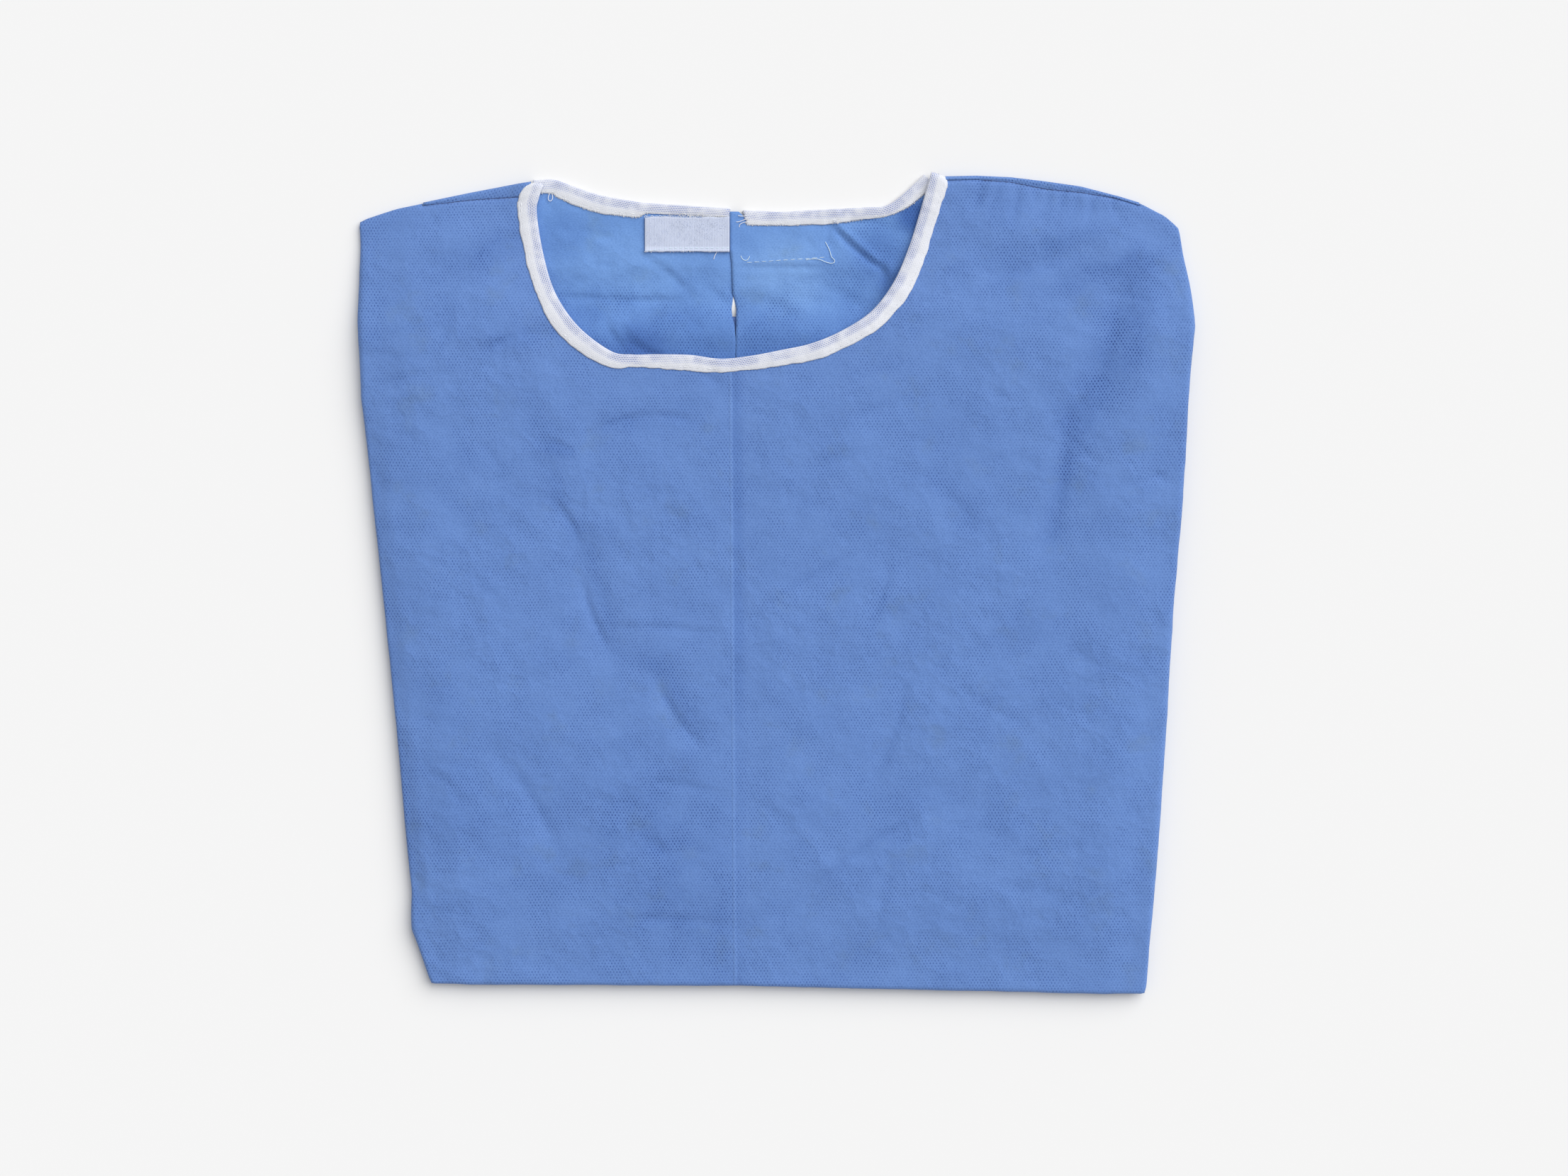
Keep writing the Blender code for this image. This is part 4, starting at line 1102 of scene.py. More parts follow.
# Tints that multiply the cloth's colour: painted shade on the front's troughs, creases and edges, and a
# painted highlight on the pressed crease's ridge
PAINTED_SHADE_TINT = (0.82, 0.86, 0.91)
PAINTED_HIGHLIGHT_TINT = (1.09, 1.07, 1.04)


def nonwoven(name, colour, cloth, crease=None):
    """Non-woven cloth's outer side: embossed dots, fibres, soft crumples, mottling and, on the
    front, painted shade along its troughs, creases and edges, and the pressed centre crease with a
    painted highlight on its ridge and painted shade beside it."""
    made, tree, shader = new_material(name, CLOTH_ROUGHNESS, CLOTH_SHEEN)
    place, warped = cloth_place(tree)
    dimple = dotted(tree, warped, cloth)
    tint, height = handled(tree, place, tuple(colour))
    if crease:
        # Painted shade from the shade map, varied at random, where the dots are also made stronger
        bend = joined(tree, "ShaderNodeUVMap", uv_map=SHADE_MAP).outputs["UV"]
        bend = parts_of(tree, bend)["X"]
        uneven = smooth(tree, speckle(tree, place, 0.014, 3.0, 0.6), 0.30, 0.62, 0.55, 1.15)
        bend = times(tree, bend, uneven)
        tint = toned(tree, tint, bend, PAINTED_SHADE_TINT)
        dimple = times(tree, dimple, plus(tree, times(tree, bend, 0.5), 0.82))
        # Pressed centre crease: a raised ridge with a painted highlight, and painted shade to the right
        # of it
        ridge_and_highlight, shade = pressed_crease(tree, place, crease)
        tint = toned(tree, tint, ridge_and_highlight, PAINTED_HIGHLIGHT_TINT)
        tint = toned(tree, tint, shade, PAINTED_SHADE_TINT)
        height = plus(tree, height, times(tree, ridge_and_highlight, 0.8))
    finish_cloth(tree, shader, tint, dimple, height)
    return made


def pressed_crease(tree, place, crease):
    """Shares of the pressed centre crease's ridge, which also carries a painted highlight, and of the
    painted shade to the right of it.
    """
    top, foot = (Vector(end) * MM for end in crease)
    parts = parts_of(tree, place)
    slant = times(tree, minus(tree, parts["Y"], foot.y), (top.x - foot.x) / (top.y - foot.y))
    aside = minus(tree, parts["X"], plus(tree, slant, foot.x))
    ridge_and_highlight = smooth(tree, number(tree, "ABSOLUTE", aside), 0.0013, 0.0002)
    shade = times(tree, smooth(tree, aside, 0.0002, 0.0016), smooth(tree, aside, 0.0095, 0.0030))
    fade = smooth(tree, parts["Y"], -0.09, -0.02, 0.35, 1.0)
    return ridge_and_highlight, times(tree, shade, fade)


# Spots of painted light and painted shade on the inner side, in metres, with the tint of each
LightShadeSpotRow = namedtuple("LightShadeSpotRow", "x y radius tint")
LIGHT_AND_SHADE_SPOTS = rows_of(
    LightShadeSpotRow,
    (0.004, 0.171, 0.034, (1.24, 1.17, 1.08)),
    (-0.074, 0.183, 0.036, (1.08, 1.06, 1.03)),
    (-0.122, 0.196, 0.022, (0.80, 0.84, 0.90)),
    (0.058, 0.186, 0.024, (0.72, 0.77, 0.86)),
    (-0.076, 0.133, 0.020, (0.70, 0.76, 0.86)),
    (0.078, 0.208, 0.015, (0.38, 0.49, 0.66)),
    (0.066, 0.169, 0.012, (0.70, 0.76, 0.86)),
)
# Painted shade low in the neck hole and, lighter, near the binding at the top
LOW_SHADE_Y, LOW_SHADE_TINT = (0.182, 0.128), (0.60, 0.66, 0.76)
TOP_SHADE_Y, TOP_SHADE_TINT = (0.186, 0.205), (0.94, 0.96, 0.98)
NECK_MIDDLE_X, NECK_HALF_WIDTH = 0.0235, 0.1145


def inner_nonwoven(name, cloth):
    """Non-woven cloth's smoother inner side, with fewer dots and a spot of painted light near the
    closure, spots of painted shade, and painted shade low in the neck hole and near the binding. Beyond
    the neck it is the outer side, which is carried over the shoulders."""
    made, tree, shader = new_material(name, CLOTH_ROUGHNESS, CLOTH_SHEEN)
    place, warped = cloth_place(tree)
    seen = joined(tree, "ShaderNodeTexCoord").outputs["Object"]
    parts = parts_of(tree, seen)
    wander = times(tree, minus(tree, speckle(tree, place, 0.028, 3.0), 0.5), 0.06)
    level = plus(tree, parts["Y"], wander)
    aside = plus(tree, parts["X"], wander)
    beyond = number(tree, "ABSOLUTE", plus(tree, parts["X"], NECK_MIDDLE_X))
    beyond = number(tree, "GREATER_THAN", beyond, NECK_HALF_WIDTH)
    smoother = times(tree, smooth(tree, level, 0.150, 0.186), smooth(tree, aside, 0.046, 0.018))
    dots = number(tree, "MAXIMUM", minus(tree, 1.0, times(tree, smoother, 0.86)), beyond)
    dimple = times(tree, dotted(tree, warped, cloth), dots)
    tint, height = handled(tree, place, tuple(cloth.inner))
    inside = minus(tree, 1.0, beyond)
    painted_light_and_shade = [(smooth(tree, level, *LOW_SHADE_Y), LOW_SHADE_TINT)]
    painted_light_and_shade += [(spot(tree, seen, (row.x, row.y), row.radius), row.tint) for row in LIGHT_AND_SHADE_SPOTS]
    painted_light_and_shade += [(smooth(tree, level, *TOP_SHADE_Y), TOP_SHADE_TINT)]
    for share, factors in painted_light_and_shade:
        tint = toned(tree, tint, times(tree, share, inside), factors)
    tint = blend(tree, beyond, tint, handled(tree, place, tuple(cloth.outer))[0])
    finish_cloth(tree, shader, tint, dimple, height)
    return made


# Waves, facets and creases of handled cloth, as shares of its relief
SWELL, SLANT, RIPPLE, FACETS, CREASED, FIBRES, DIMPLES = 1.5, 1.4, 1.2, 5.0, 2.4, 0.35, -0.7


def handled(tree, place, colour):
    """Colour and height of cloth that has been folded and unfolded, without its dots."""
    fibres = speckle(tree, stretched(tree, place, 1.0, 2.2), 0.0012, 3.0, 0.7)
    mottle = speckle(tree, stretched(tree, place, 1.0, 1.6), 0.040, 6.0, 0.68)
    grey = speckle(tree, place, 0.024, 4.0, 0.6)
    swell = speckle(tree, stretched(tree, place, 1.0, 2.6), 0.024, 3.0, 0.55)
    slant = speckle(tree, stretched(tree, place, 2.2, 1.0), 0.030, 3.0, 0.55)
    tint = toned(tree, colour, smooth(tree, mottle, 0.62, 0.34), (0.91, 0.925, 0.945))
    tint = toned(tree, tint, smooth(tree, mottle, 0.56, 0.74), (1.04, 1.03, 1.02))
    tint = toned(tree, tint, smooth(tree, grey, 0.55, 0.75), (0.99, 0.95, 0.88))
    tint = toned(tree, tint, smooth(tree, fibres, 0.35, 0.75, 0.0, 0.70), (0.56, 0.65, 0.76))
    height = times(tree, fibres, FIBRES)
    worn = smooth(tree, speckle(tree, place, 0.070, 2.0), 0.36, 0.62, 0.25, 1.0)
    facets = times(tree, facet(tree, place, 0.021, 0.012), worn)
    creased = times(tree, facet(tree, place, 0.0085, 0.005), worn)
    ripple = speckle(tree, place, 0.008, 2.0)
    for part, amount in ((swell, SWELL), (slant, SLANT), (ripple, RIPPLE), (facets, FACETS),
                         (creased, CREASED)):
        height = plus(tree, height, times(tree, part, amount))
    return tint, height


def finish_cloth(tree, shader, tint, dimple, height):
    """Dots in colour and relief on top of the handled cloth."""
    tree.links.new(toned(tree, tint, dimple, (0.20, 0.31, 0.52)), shader.inputs["Base Color"])
    tree.links.new(smooth(tree, dimple, 0.0, 1.0, 0.80, 0.70), shader.inputs["Roughness"])
    height = plus(tree, height, times(tree, dimple, DIMPLES))
    raise_surface(tree, shader, height, 0.00022)


def knit(name, binding):
    """White knit: courses of dashes from the neck fold outwards, denser towards its edge."""
    made, tree, shader = new_material(name, 0.88, 0.25)
    place, warped = cloth_place(tree)
    across = parts_of(tree, place)["Y"]
    away = lattice(tree, warped, binding.stitch_pitch, binding.course_pitch, 0.50)
    dash = smooth(tree, away, 0.00040, 0.00010)
    patchy = smooth(tree, speckle(tree, place, 0.010, 2.0), 0.32, 0.60, 0.35, 1.0)
    edge = plus(tree, across, times(tree, speckle(tree, place, 0.02), 0.004))
    rows = times(tree, smooth(tree, across, 0.0005, 0.0013), smooth(tree, edge, 0.0094, 0.0062))
    rows = number(tree, "MAXIMUM", times(tree, rows, patchy), 0.16)
    dash = times(tree, dash, rows)
    fuzz = speckle(tree, place, 0.0008, 3.0, 0.7)
    soft = speckle(tree, place, 0.012, 3.0)
    grey = varied(binding.colour, (0.84, 0.85, 0.88))
    shade = tuple(binding.shade)
    tint = blend(tree, smooth(tree, fuzz, 0.35, 0.80), tuple(binding.colour), grey)
    tint = blend(tree, times(tree, smooth(tree, soft, 0.35, 0.7), 0.45), tint, grey)
    tint = blend(tree, times(tree, rows, 0.22), tint, shade)
    tint = blend(tree, times(tree, dash, 0.95), tint, shade)
    tree.links.new(tint, shader.inputs["Base Color"])
    tree.links.new(smooth(tree, fuzz, 0.3, 0.7, 0.82, 0.95), shader.inputs["Roughness"])
    height = plus(tree, times(tree, dash, -0.9), times(tree, fuzz, 0.9))
    raise_surface(tree, shader, height, 0.00025)
    return made


def ribbed_tape(name, tape):
    """Closure tape: fine ribs across it, a paler selvedge and a soft nap."""
    made, tree, shader = new_material(name, 0.9, 0.35)
    place = cloth_place(tree)[0]
    parts = parts_of(tree, place)
    rib = smooth(tree, number(tree, "SINE", times(tree, parts["X"], 2.0 * math.pi / tape.rib_pitch)),
                 -1.0, 1.0)
    nap = speckle(tree, place, 0.0008, 3.0, 0.7)
    patch = speckle(tree, place, 0.009, 2.0)
    selvedge = smooth(tree, parts["Y"], 0.0032, 0.0022)
    pale = varied(tape.colour, (1.16, 1.16, 1.16))
    dull = varied(tape.colour, (0.80, 0.80, 0.80))
    tint = blend(tree, times(tree, rib, 0.30), tuple(tape.colour), pale)
    tint = blend(tree, times(tree, smooth(tree, patch, 0.35, 0.7), 0.30), tint, dull)
    tint = blend(tree, times(tree, selvedge, 0.8), tint, pale)
    tree.links.new(tint, shader.inputs["Base Color"])
    tree.links.new(smooth(tree, nap, 0.3, 0.7, 0.84, 0.96), shader.inputs["Roughness"])
    height = plus(tree, times(tree, rib, 0.5), times(tree, nap, 0.6))
    raise_surface(tree, shader, height, 0.0002)
    return made


def thread_finish(name, colour):
    """Spun thread: a faint twist, a slightly uneven colour and light that soaks in."""
    made, tree, shader = new_material(name, 0.7, 0.3)
    shader.inputs["Subsurface Weight"].default_value = 0.6
    shader.inputs["Subsurface Radius"].default_value = (1.0, 1.0, 1.0)
    shader.inputs["Subsurface Scale"].default_value = 0.0006
    place = joined(tree, "ShaderNodeTexCoord").outputs["Object"]
    twist = joined(tree, "ShaderNodeTexWave", {"Vector": place, "Scale": 900.0,
                                               "Distortion": 3.0}).outputs["Fac"]
    uneven = speckle(tree, place, 0.0030, 2.0)
    tint = toned(tree, tuple(colour), smooth(tree, uneven, 0.35, 0.75), (0.90, 0.91, 0.93))
    tint = toned(tree, tint, times(tree, twist, 0.35), (0.88, 0.90, 0.93))
    tree.links.new(tint, shader.inputs["Base Color"])
    tree.links.new(smooth(tree, uneven, 0.3, 0.7, 0.65, 0.80), shader.inputs["Roughness"])
    raise_surface(tree, shader, twist, 0.00001)
    return made


def floor_finish(name, stage):
    """Matt pale floor with a very faint unevenness."""
    made, tree, shader = new_material(name, 0.95)
    shader.inputs["Specular IOR Level"].default_value = 0.0
    place = joined(tree, "ShaderNodeTexCoord").outputs["Object"]
    dull = varied(stage.floor, (0.996, 0.996, 0.996))
    tint = blend(tree, speckle(tree, place, 0.6, 2.0), tuple(stage.floor), dull)
    tree.links.new(tint, shader.inputs["Base Color"])
    return made


def once(name, make, *arguments):
    """Material of that name, made the first time it is asked for."""
    return bpy.data.materials.get(name) or make(name, *arguments)


def outer_cloth():
    """Finish of the front."""
    cloth = bpy.context.scene.gown_cloth
    return once("nonwoven_outer", nonwoven, cloth.outer, cloth, CENTRE_CREASE)


def inner_cloth():
    """Finish of the back panels, whose inner side shows in the neck hole."""
    cloth = bpy.context.scene.gown_cloth
    return once("nonwoven_inner", inner_nonwoven, cloth)


def shaded_layers_cloth():
    """Finish of the layers folded behind, in a darker copy of the cloth's colour that paints shade on
    them.
    """
    cloth = bpy.context.scene.gown_cloth
    return once("nonwoven_folded", nonwoven, cloth.shaded_layers, cloth)


# Columns of the front between named places of its top edge, with where they end at the bottom
Stretch = namedtuple("Stretch", "columns foot_from foot_to")
FRONT_STRETCHES = {
    "left_corner": Stretch(10, -193.6, -184.0),
    "left_shoulder": Stretch(21, -184.0, -160.0),
    "left_neck": Stretch(66, -160.0, CREASE_FOOT_X),
    "right_neck": Stretch(62, CREASE_FOOT_X, 112.0),
    "right_shoulder": Stretch(46, 112.0, 198.0),
    "right_corner": Stretch(10, 198.0, 207.2),
}
FRONT_ROWS = 188


def neck_ends():
    """Distances along the neck where the front's cloth starts, meets its crease and ends."""
    edge = FRONT_PATH.cloth_edge(FRONT_PATH.along)
    start = int(np.argmax(edge[:, 1] < seam_y(LEFT_NECK_X)))
    middle = int(np.argmax(edge[:, 0] > CREASE_TOP_X))
    end = middle + int(np.argmax(edge[middle:, 1] > seam_y(RIGHT_NECK_X)))
    return tuple(float(FRONT_PATH.along[k]) for k in (start, middle, end))


def shoulder_places(name):
    """Places along X of a shoulder's columns, shared by front and back panel."""
    start, _, end = neck_ends()
    count = FRONT_STRETCHES[name].columns + 1
    if name == "left_shoulder":
        return np.linspace(LEFT_ROLL[0], FRONT_PATH.cloth_edge(start)[0], count)
    return np.linspace(FRONT_PATH.cloth_edge(end)[0], RIGHT_ROLL[1], count)


def front_top_line():
    """Top edge of the front, a point for each column, with the column's foot."""
    start, middle, end = neck_ends()
    left_x = float(side_x(SIDES[-1].y, "left")) + SIDE_INSET_LOW
    corners = {"left_corner": (left_x, LEFT_ROLL[0]), "right_corner": (RIGHT_ROLL[1], RIGHT_TOP_X)}
    necks = {"left_neck": (start, middle), "right_neck": (middle, end)}
    tops, feet = [], []
    for name, stretch in FRONT_STRETCHES.items():
        if name in necks:
            points = FRONT_PATH.cloth_edge(np.linspace(*necks[name], stretch.columns + 1))
        else:
            places = (np.linspace(*corners[name], stretch.columns + 1) if name in corners
                      else shoulder_places(name))
            points = np.stack([places, seam_y(places)], axis=-1)
        tops = tops[:-1] + points.tolist()
        feet = feet[:-1] + np.linspace(stretch.foot_from, stretch.foot_to,
                                       stretch.columns + 1).tolist()
    return np.array(tops), np.array(feet)


def front_plan():
    """Plan points of the front, columns by rows, between its four edges."""
    tops, feet = front_top_line()
    bottoms = np.stack([feet, bottom_y(feet) + BOTTOM_INSET], axis=-1)
    v = np.linspace(0.0, 1.0, FRONT_ROWS + 1)
    u = np.linspace(0.0, 1.0, len(tops))
    plan = bottoms[:, None] + (tops - bottoms)[:, None] * v[None, :, None]
    for side, sign, column, share in (("left", 1.0, 0, 1.0 - u), ("right", -1.0, -1, u)):
        low, high = bottoms[column], tops[column]
        y = mix(low[1], high[1], v)
        inset = mix(SIDE_INSET_LOW, SIDE_INSET_HIGH, ramp(y, RETURN_FOOT, RETURN_TOP))
        bow = side_x(y, side) + sign * inset
        straight = mix(side_x(low[1], side), side_x(high[1], side), v)
        straight = straight + sign * mix(SIDE_INSET_HIGH, SIDE_INSET_LOW, v)
        plan[:, :, 0] += share[:, None] * (bow - straight)[None, :]
    return plan


def outward(line):
    """Outward direction at each point of a line that runs anticlockwise round the gown."""
    run = np.diff(line[:, :2], axis=0)
    run /= np.linalg.norm(run, axis=1, keepdims=True)
    sides = np.stack([run[:, 1], -run[:, 0]], axis=-1)
    sides = np.vstack([[0.0, 1.0], sides[:-1] + sides[1:], [0.0, 1.0]])
    return sides / np.linalg.norm(sides, axis=1, keepdims=True)


ROLL_UNEVEN, ROLL_WAVES = 0.10, ((16.0, 1.0), (6.0, 0.5))


def rolled_lines(line, cut):
    """Lines of points that roll an edge over, down and a little way back under it."""
    sides = outward(line)
    low = return_height(line[:, 1])
    radius = (line[:, 2] - low) / 2.0
    sag = 1.0 + ROLL_UNEVEN * waves(line[:, 0], line[:, 1], 5.7, ROLL_WAVES)
    lines = []
    for step in range(1, ROLL_STEPS + 1 + len(RETURN_STEPS)):
        turn = math.pi * min(step, ROLL_STEPS) / ROLL_STEPS
        back = RETURN_STEPS[step - ROLL_STEPS - 1] if step > ROLL_STEPS else 0.0
        reach = radius * sag * math.sin(turn) - back
        height = line[:, 2] - radius * (1.0 - math.cos(turn))
        points = np.column_stack([line[:, :2] + sides * reach[:, None], height])
        lines.append((points, cut + sides * (radius * turn + back)[:, None]))
    return lines


class GOWN_OT_front(Operator):
    """Front panel, with its creases, rolled sides, bottom fold and shoulder corners"""
    bl_idname = "gown.front"
    bl_label = "Front panel"

    def execute(self, context):
        cloth = context.scene.gown_cloth
        plan = front_plan()
        height = front_height(plan[..., 0], plan[..., 1])
        points = np.dstack([plan, height])
        piece = Cloth()
        ids = piece.grid(points, plan)
        columns, rows = ids.shape
        left_end = FRONT_STRETCHES["left_corner"].columns
        right_end = columns - 1 - FRONT_STRETCHES["right_corner"].columns
        line = np.concatenate([
            ids[left_end:0:-1, -1], ids[0, rows - 1:0:-1], ids[:-1, 0], ids[-1, :-1],
            ids[columns - 1:right_end - 1:-1, -1]])
        places = np.array(piece.points)[line]
        flat = np.array(piece.cut)[line]
        for after, cut in rolled_lines(places, flat):
            line = piece.join(line, piece.add(after, cut))
        front = piece.make("gown_front", outer_cloth(), cloth.wall, painted_shade)
        flat, area = FRONT_CUT
        settle(front, "front")
        return {"FINISHED"}


LEFT_OUTER, RIGHT_OUTER = (-226.0, -219.0, -212.0, -206.0), (211.0, 216.0, 219.5)
LEFT_INNER, RIGHT_INNER = np.linspace(-136.8, -25.5, 64), np.linspace(-26.2, 90.6, 70)
ROLL_END_INSET = 0.3


def back_columns(name):
    """Columns of a back panel along X at the top, fine where its inner side shows."""
    if name == "gown_back_left":
        roll = shoulder_places("left_shoulder")
        roll[0], roll[-1] = roll[0] + ROLL_END_INSET, LEFT_ROLL[1]
        return np.concatenate([LEFT_OUTER, roll, LEFT_INNER]), roll
    roll = shoulder_places("right_shoulder")
    roll[0], roll[-1] = RIGHT_ROLL[0], roll[-1] - ROLL_END_INSET
    return np.concatenate([RIGHT_INNER, roll, RIGHT_OUTER]), roll


def back_top_y(x, path, corner_x):
    """Top of a back panel's flat part: below the shoulder's edge, or inside the neck binding."""
    on_shoulder = shoulder_y(x) - BACK_TOP_INSET
    edge = path.cloth_edge(np.linspace(0.0, path.length, 81))
    in_binding = np.interp(x, edge[:, 0], edge[:, 1])
    if corner_x > 0.0:
        in_binding = in_binding + PANEL_CORNER_RISE * ramp(x, *PANEL_CORNER_X)
    if corner_x < 0.0:
        return mix(on_shoulder, in_binding, ramp(x, corner_x, corner_x + LEFT_CORNER_RUN))
    return mix(in_binding, on_shoulder, ramp(x, corner_x - RIGHT_CORNER_RUN, corner_x))


BACK_TOP_FADE = 0.35
BACK_LOW_ROWS = (-214.0, -150.0, -86.0, -22.0, 30.0, 64.0, 88.0, 102.0)
BACK_FINE_ROWS = np.linspace(110.0, 180.0, 44)
BACK_TOP_ROWS = 20


ROLL_END_SHARES, ROLL_END_GAP = (0.35, 0.7, 0.85, 1.0), 0.25


def shoulder_roll(x, low):
    """Lines of points that carry a back panel over the shoulder's edge to its seam."""
    radius = (front_height(x, seam_y(x)) + SEAM_DIP - low) / 2.0
    centre_y = shoulder_y(x) - radius - HALF
    lines = [(np.column_stack([x, centre_y - ROLL_LEAD, low]), -ROLL_LEAD * np.ones_like(x))]
    for step in range(ROLL_STEPS + 1):
        turn = math.pi * step / ROLL_STEPS
        lines.append((np.column_stack([x, centre_y + radius * math.sin(turn),
                                       low + radius * (1.0 - math.cos(turn))]), radius * turn))
    for share in ROLL_END_SHARES:
        end_y = mix(centre_y, seam_y(x) + ROLL_END_GAP, share)
        height = low + 2.0 * radius - seam_dip(x, end_y)
        lines.append((np.column_stack([x, end_y, height]), radius * math.pi + centre_y - end_y))
    return lines


def back_piece(name, node, path, cloth):
    """Back panel: flat under the front and in the neck hole, rolled over the shoulder."""
    columns, roll = back_columns(name)
    left_side = name == "gown_back_left"
    corner_x = roll[-1] if left_side else roll[0]
    even = back_edges(BACK_EVEN_Y, left_side)
    share = (columns - even[0]) / (even[1] - even[0])
    low_y = np.concatenate([BACK_LOW_ROWS, BACK_FINE_ROWS])
    low_left, low_right = back_edges(low_y, left_side)
    x = mix(low_left[None, :], low_right[None, :], share[:, None])
    y = np.broadcast_to(low_y, x.shape)
    top = back_top_y(columns, path, corner_x)
    rise = np.linspace(0.0, 1.0, BACK_TOP_ROWS + 1)[1:]
    y = np.hstack([y, mix(BACK_FINE_ROWS[-1], top[:, None], rise[None, :])])
    edge_share = ramp(rise, 0.0, BACK_TOP_FADE)[None, :]
    x = np.hstack([x, mix(x[:, -1:], columns[:, None], edge_share)])
    piece = Cloth()
    height = back_height(x, y) + slit_rise(x, y, 0 if left_side else 1)
    ids = piece.grid(np.dstack([x, y, height]), np.dstack([x, y]))
    line = ids[(columns >= roll[0] - 0.01) & (columns <= roll[-1] + 0.01), -1]
    start = np.array(piece.points)[line]
    for points, run in shoulder_roll(start[:, 0], start[:, 2]):
        cut = np.column_stack([start[:, 0], start[:, 1] + 2.0 + run])
        line = piece.join(line, piece.add(points, cut))
    settle(piece.make(name, inner_cloth(), cloth.wall), node)


def back_edges(y, left_side):
    """Left and right edge of a back panel: its side under the front, and the slit."""
    if left_side:
        return side_x(y, "left") + BACK_EDGE_INSET, lookup(SLIT, y, "y", "left")
    return lookup(SLIT, y, "y", "right"), side_x(y, "right") - BACK_EDGE_INSET


class GOWN_OT_backs(Operator):
    """Both back panels: flat under the front and in the neck hole, rolled over the shoulders"""
    bl_idname = "gown.backs"
    bl_label = "Back panels"

    def execute(self, context):
        cloth = context.scene.gown_cloth
        back_piece("gown_back_left", "back_left", LEFT_BACK_PATH, cloth)
        back_piece("gown_back_right", "back_right", RIGHT_BACK_PATH, cloth)
        return {"FINISHED"}


# Section and unevenness of a binding
BINDING_STEP, BINDING_SEAT = 1.2, 0.43
LEG_POINTS, LEG_SWELL = 12, 0.85
BEND_TURNS = np.linspace(20.0, 160.0, 6)
WOBBLE = ((14.0, 0.55), (5.0, 0.45), (2.2, 0.25))
PUCKER = ((7.0, 0.30), (3.0, 0.20))
TORN = ((2.4, 1.0), (1.1, 0.6))


def binding_section(width, crown, seat):
    """Section of a folded binding: depth from its fold line, height and run along the knit."""
    share = np.linspace(0.0, 1.0, LEG_POINTS)
    leg = width * (1.0 - share)
    rise = seat + (crown - seat) * np.sin(math.pi * np.minimum(share * LEG_SWELL, 0.5))
    bend = np.radians(BEND_TURNS)
    depth = np.concatenate([leg[:-1] + crown * share[:-1], crown - crown * np.sin(bend),
                            leg[-2::-1] + crown * share[-2::-1]])
    height = np.concatenate([rise[:-1], crown * np.cos(bend), -rise[-2::-1]])
    steps = np.hypot(np.diff(depth), np.diff(height))
    run = np.concatenate([[0.0], np.cumsum(steps)])
    return depth, height, np.abs(run - run[len(run) // 2])


# Ends of a binding: radius of its outer corner, drop over the shoulder, unevenness of a cut end
EndRow = namedtuple("EndRow", "radius drop ragged")
BINDING_ENDS = {
    "neck_binding_front": (EndRow(8.5, 1.2, 0.0), EndRow(5.0, 1.2, 0.0)),
    "neck_binding_back_left": (EndRow(0.0, 0.0, 0.0), EndRow(0.5, 0.3, 0.5)),
    "neck_binding_back_right": (EndRow(2.5, 0.6, 1.6), EndRow(0.0, 0.0, 0.0)),
}
CORNER_RUN, DROP_RUN, RAGGED_RUN = 18.0, 2.6, 6.0


def end_shift(row, along, depth, width):
    """How far the points of a section move in from a binding's end to round and ruffle it."""
    shift = np.zeros_like(depth)
    if row.radius:
        outer = np.clip(depth - (width - row.radius), 0.0, row.radius)
        shift += (row.radius - np.sqrt(row.radius ** 2 - outer ** 2)) * max(
            0.0, 1.0 - along / CORNER_RUN)
    if row.ragged:
        torn = waves(depth, 3.0, 7.7, TORN)
        shift += row.ragged * torn * max(0.0, 1.0 - along / RAGGED_RUN)
    return shift


def binding_piece(name, node, path, height, context):
    """Knitted binding folded round a neck edge, puckered where it is sewn on."""
    binding = context.scene.gown_binding
    crown = binding.crown / MM
    distance = np.linspace(0.0, path.length, int(path.length / BINDING_STEP))
    fold, inward, width, cloth_in = path.at(distance)
    edge = fold + inward * cloth_in[:, None]
    inner = fold + inward * (width + 4.0)[:, None]
    base = height(edge[:, 0], edge[:, 1])
    slope = (height(inner[:, 0], inner[:, 1]) - base) / np.linalg.norm(inner - edge, axis=1)
    wobble = waves(distance, 0.0, 2.3, WOBBLE)
    pucker = waves(distance, 40.0, 6.1, PUCKER)
    start, end = BINDING_ENDS[node]
    points, cut = [], []
    for k, along in enumerate(distance):
        depth, rise, run = binding_section(width[k] + wobble[k], crown, BINDING_SEAT)
        left = path.length - along
        shift = end_shift(start, along, depth, width[k]) - end_shift(end, left, depth, width[k])
        ahead = np.array((-inward[k][1], inward[k][0]))
        place = fold[k] + np.outer(depth, inward[k]) + np.outer(shift, ahead)
        drop = sum(row.drop * max(0.0, 1.0 - there / DROP_RUN) ** 2
                   for row, there in ((start, along), (end, left)))
        level = base[k] + slope[k] * (depth - cloth_in[k]) + rise * (1.0 + pucker[k]) - drop
        points.append(np.column_stack([place, np.maximum(level, BACK_LOWEST)]))
        cut.append(np.column_stack([np.full(len(depth), along), run]))
    piece = Cloth()
    piece.grid(np.array(points), np.array(cut))
    made = piece.make(name, once("white_knit", knit, binding), binding.wall)
    settle(made, node)


class GOWN_OT_bindings(Operator):
    """Knitted binding round the neck, in its front and two back stretches"""
    bl_idname = "gown.bindings"
    bl_label = "Neck binding"

    def execute(self, context):
        for name, node, carrier, path, height in BINDINGS:
            binding_piece(name, node, path, height, context)
        return {"FINISHED"}


BINDINGS = (
    ("gown_binding_front", "neck_binding_front", "gown_front", FRONT_PATH, front_height),
    ("gown_binding_back_left", "neck_binding_back_left", "gown_back_left", LEFT_BACK_PATH,
     back_height),
    ("gown_binding_back_right", "neck_binding_back_right", "gown_back_right", RIGHT_BACK_PATH,
     back_height),
)


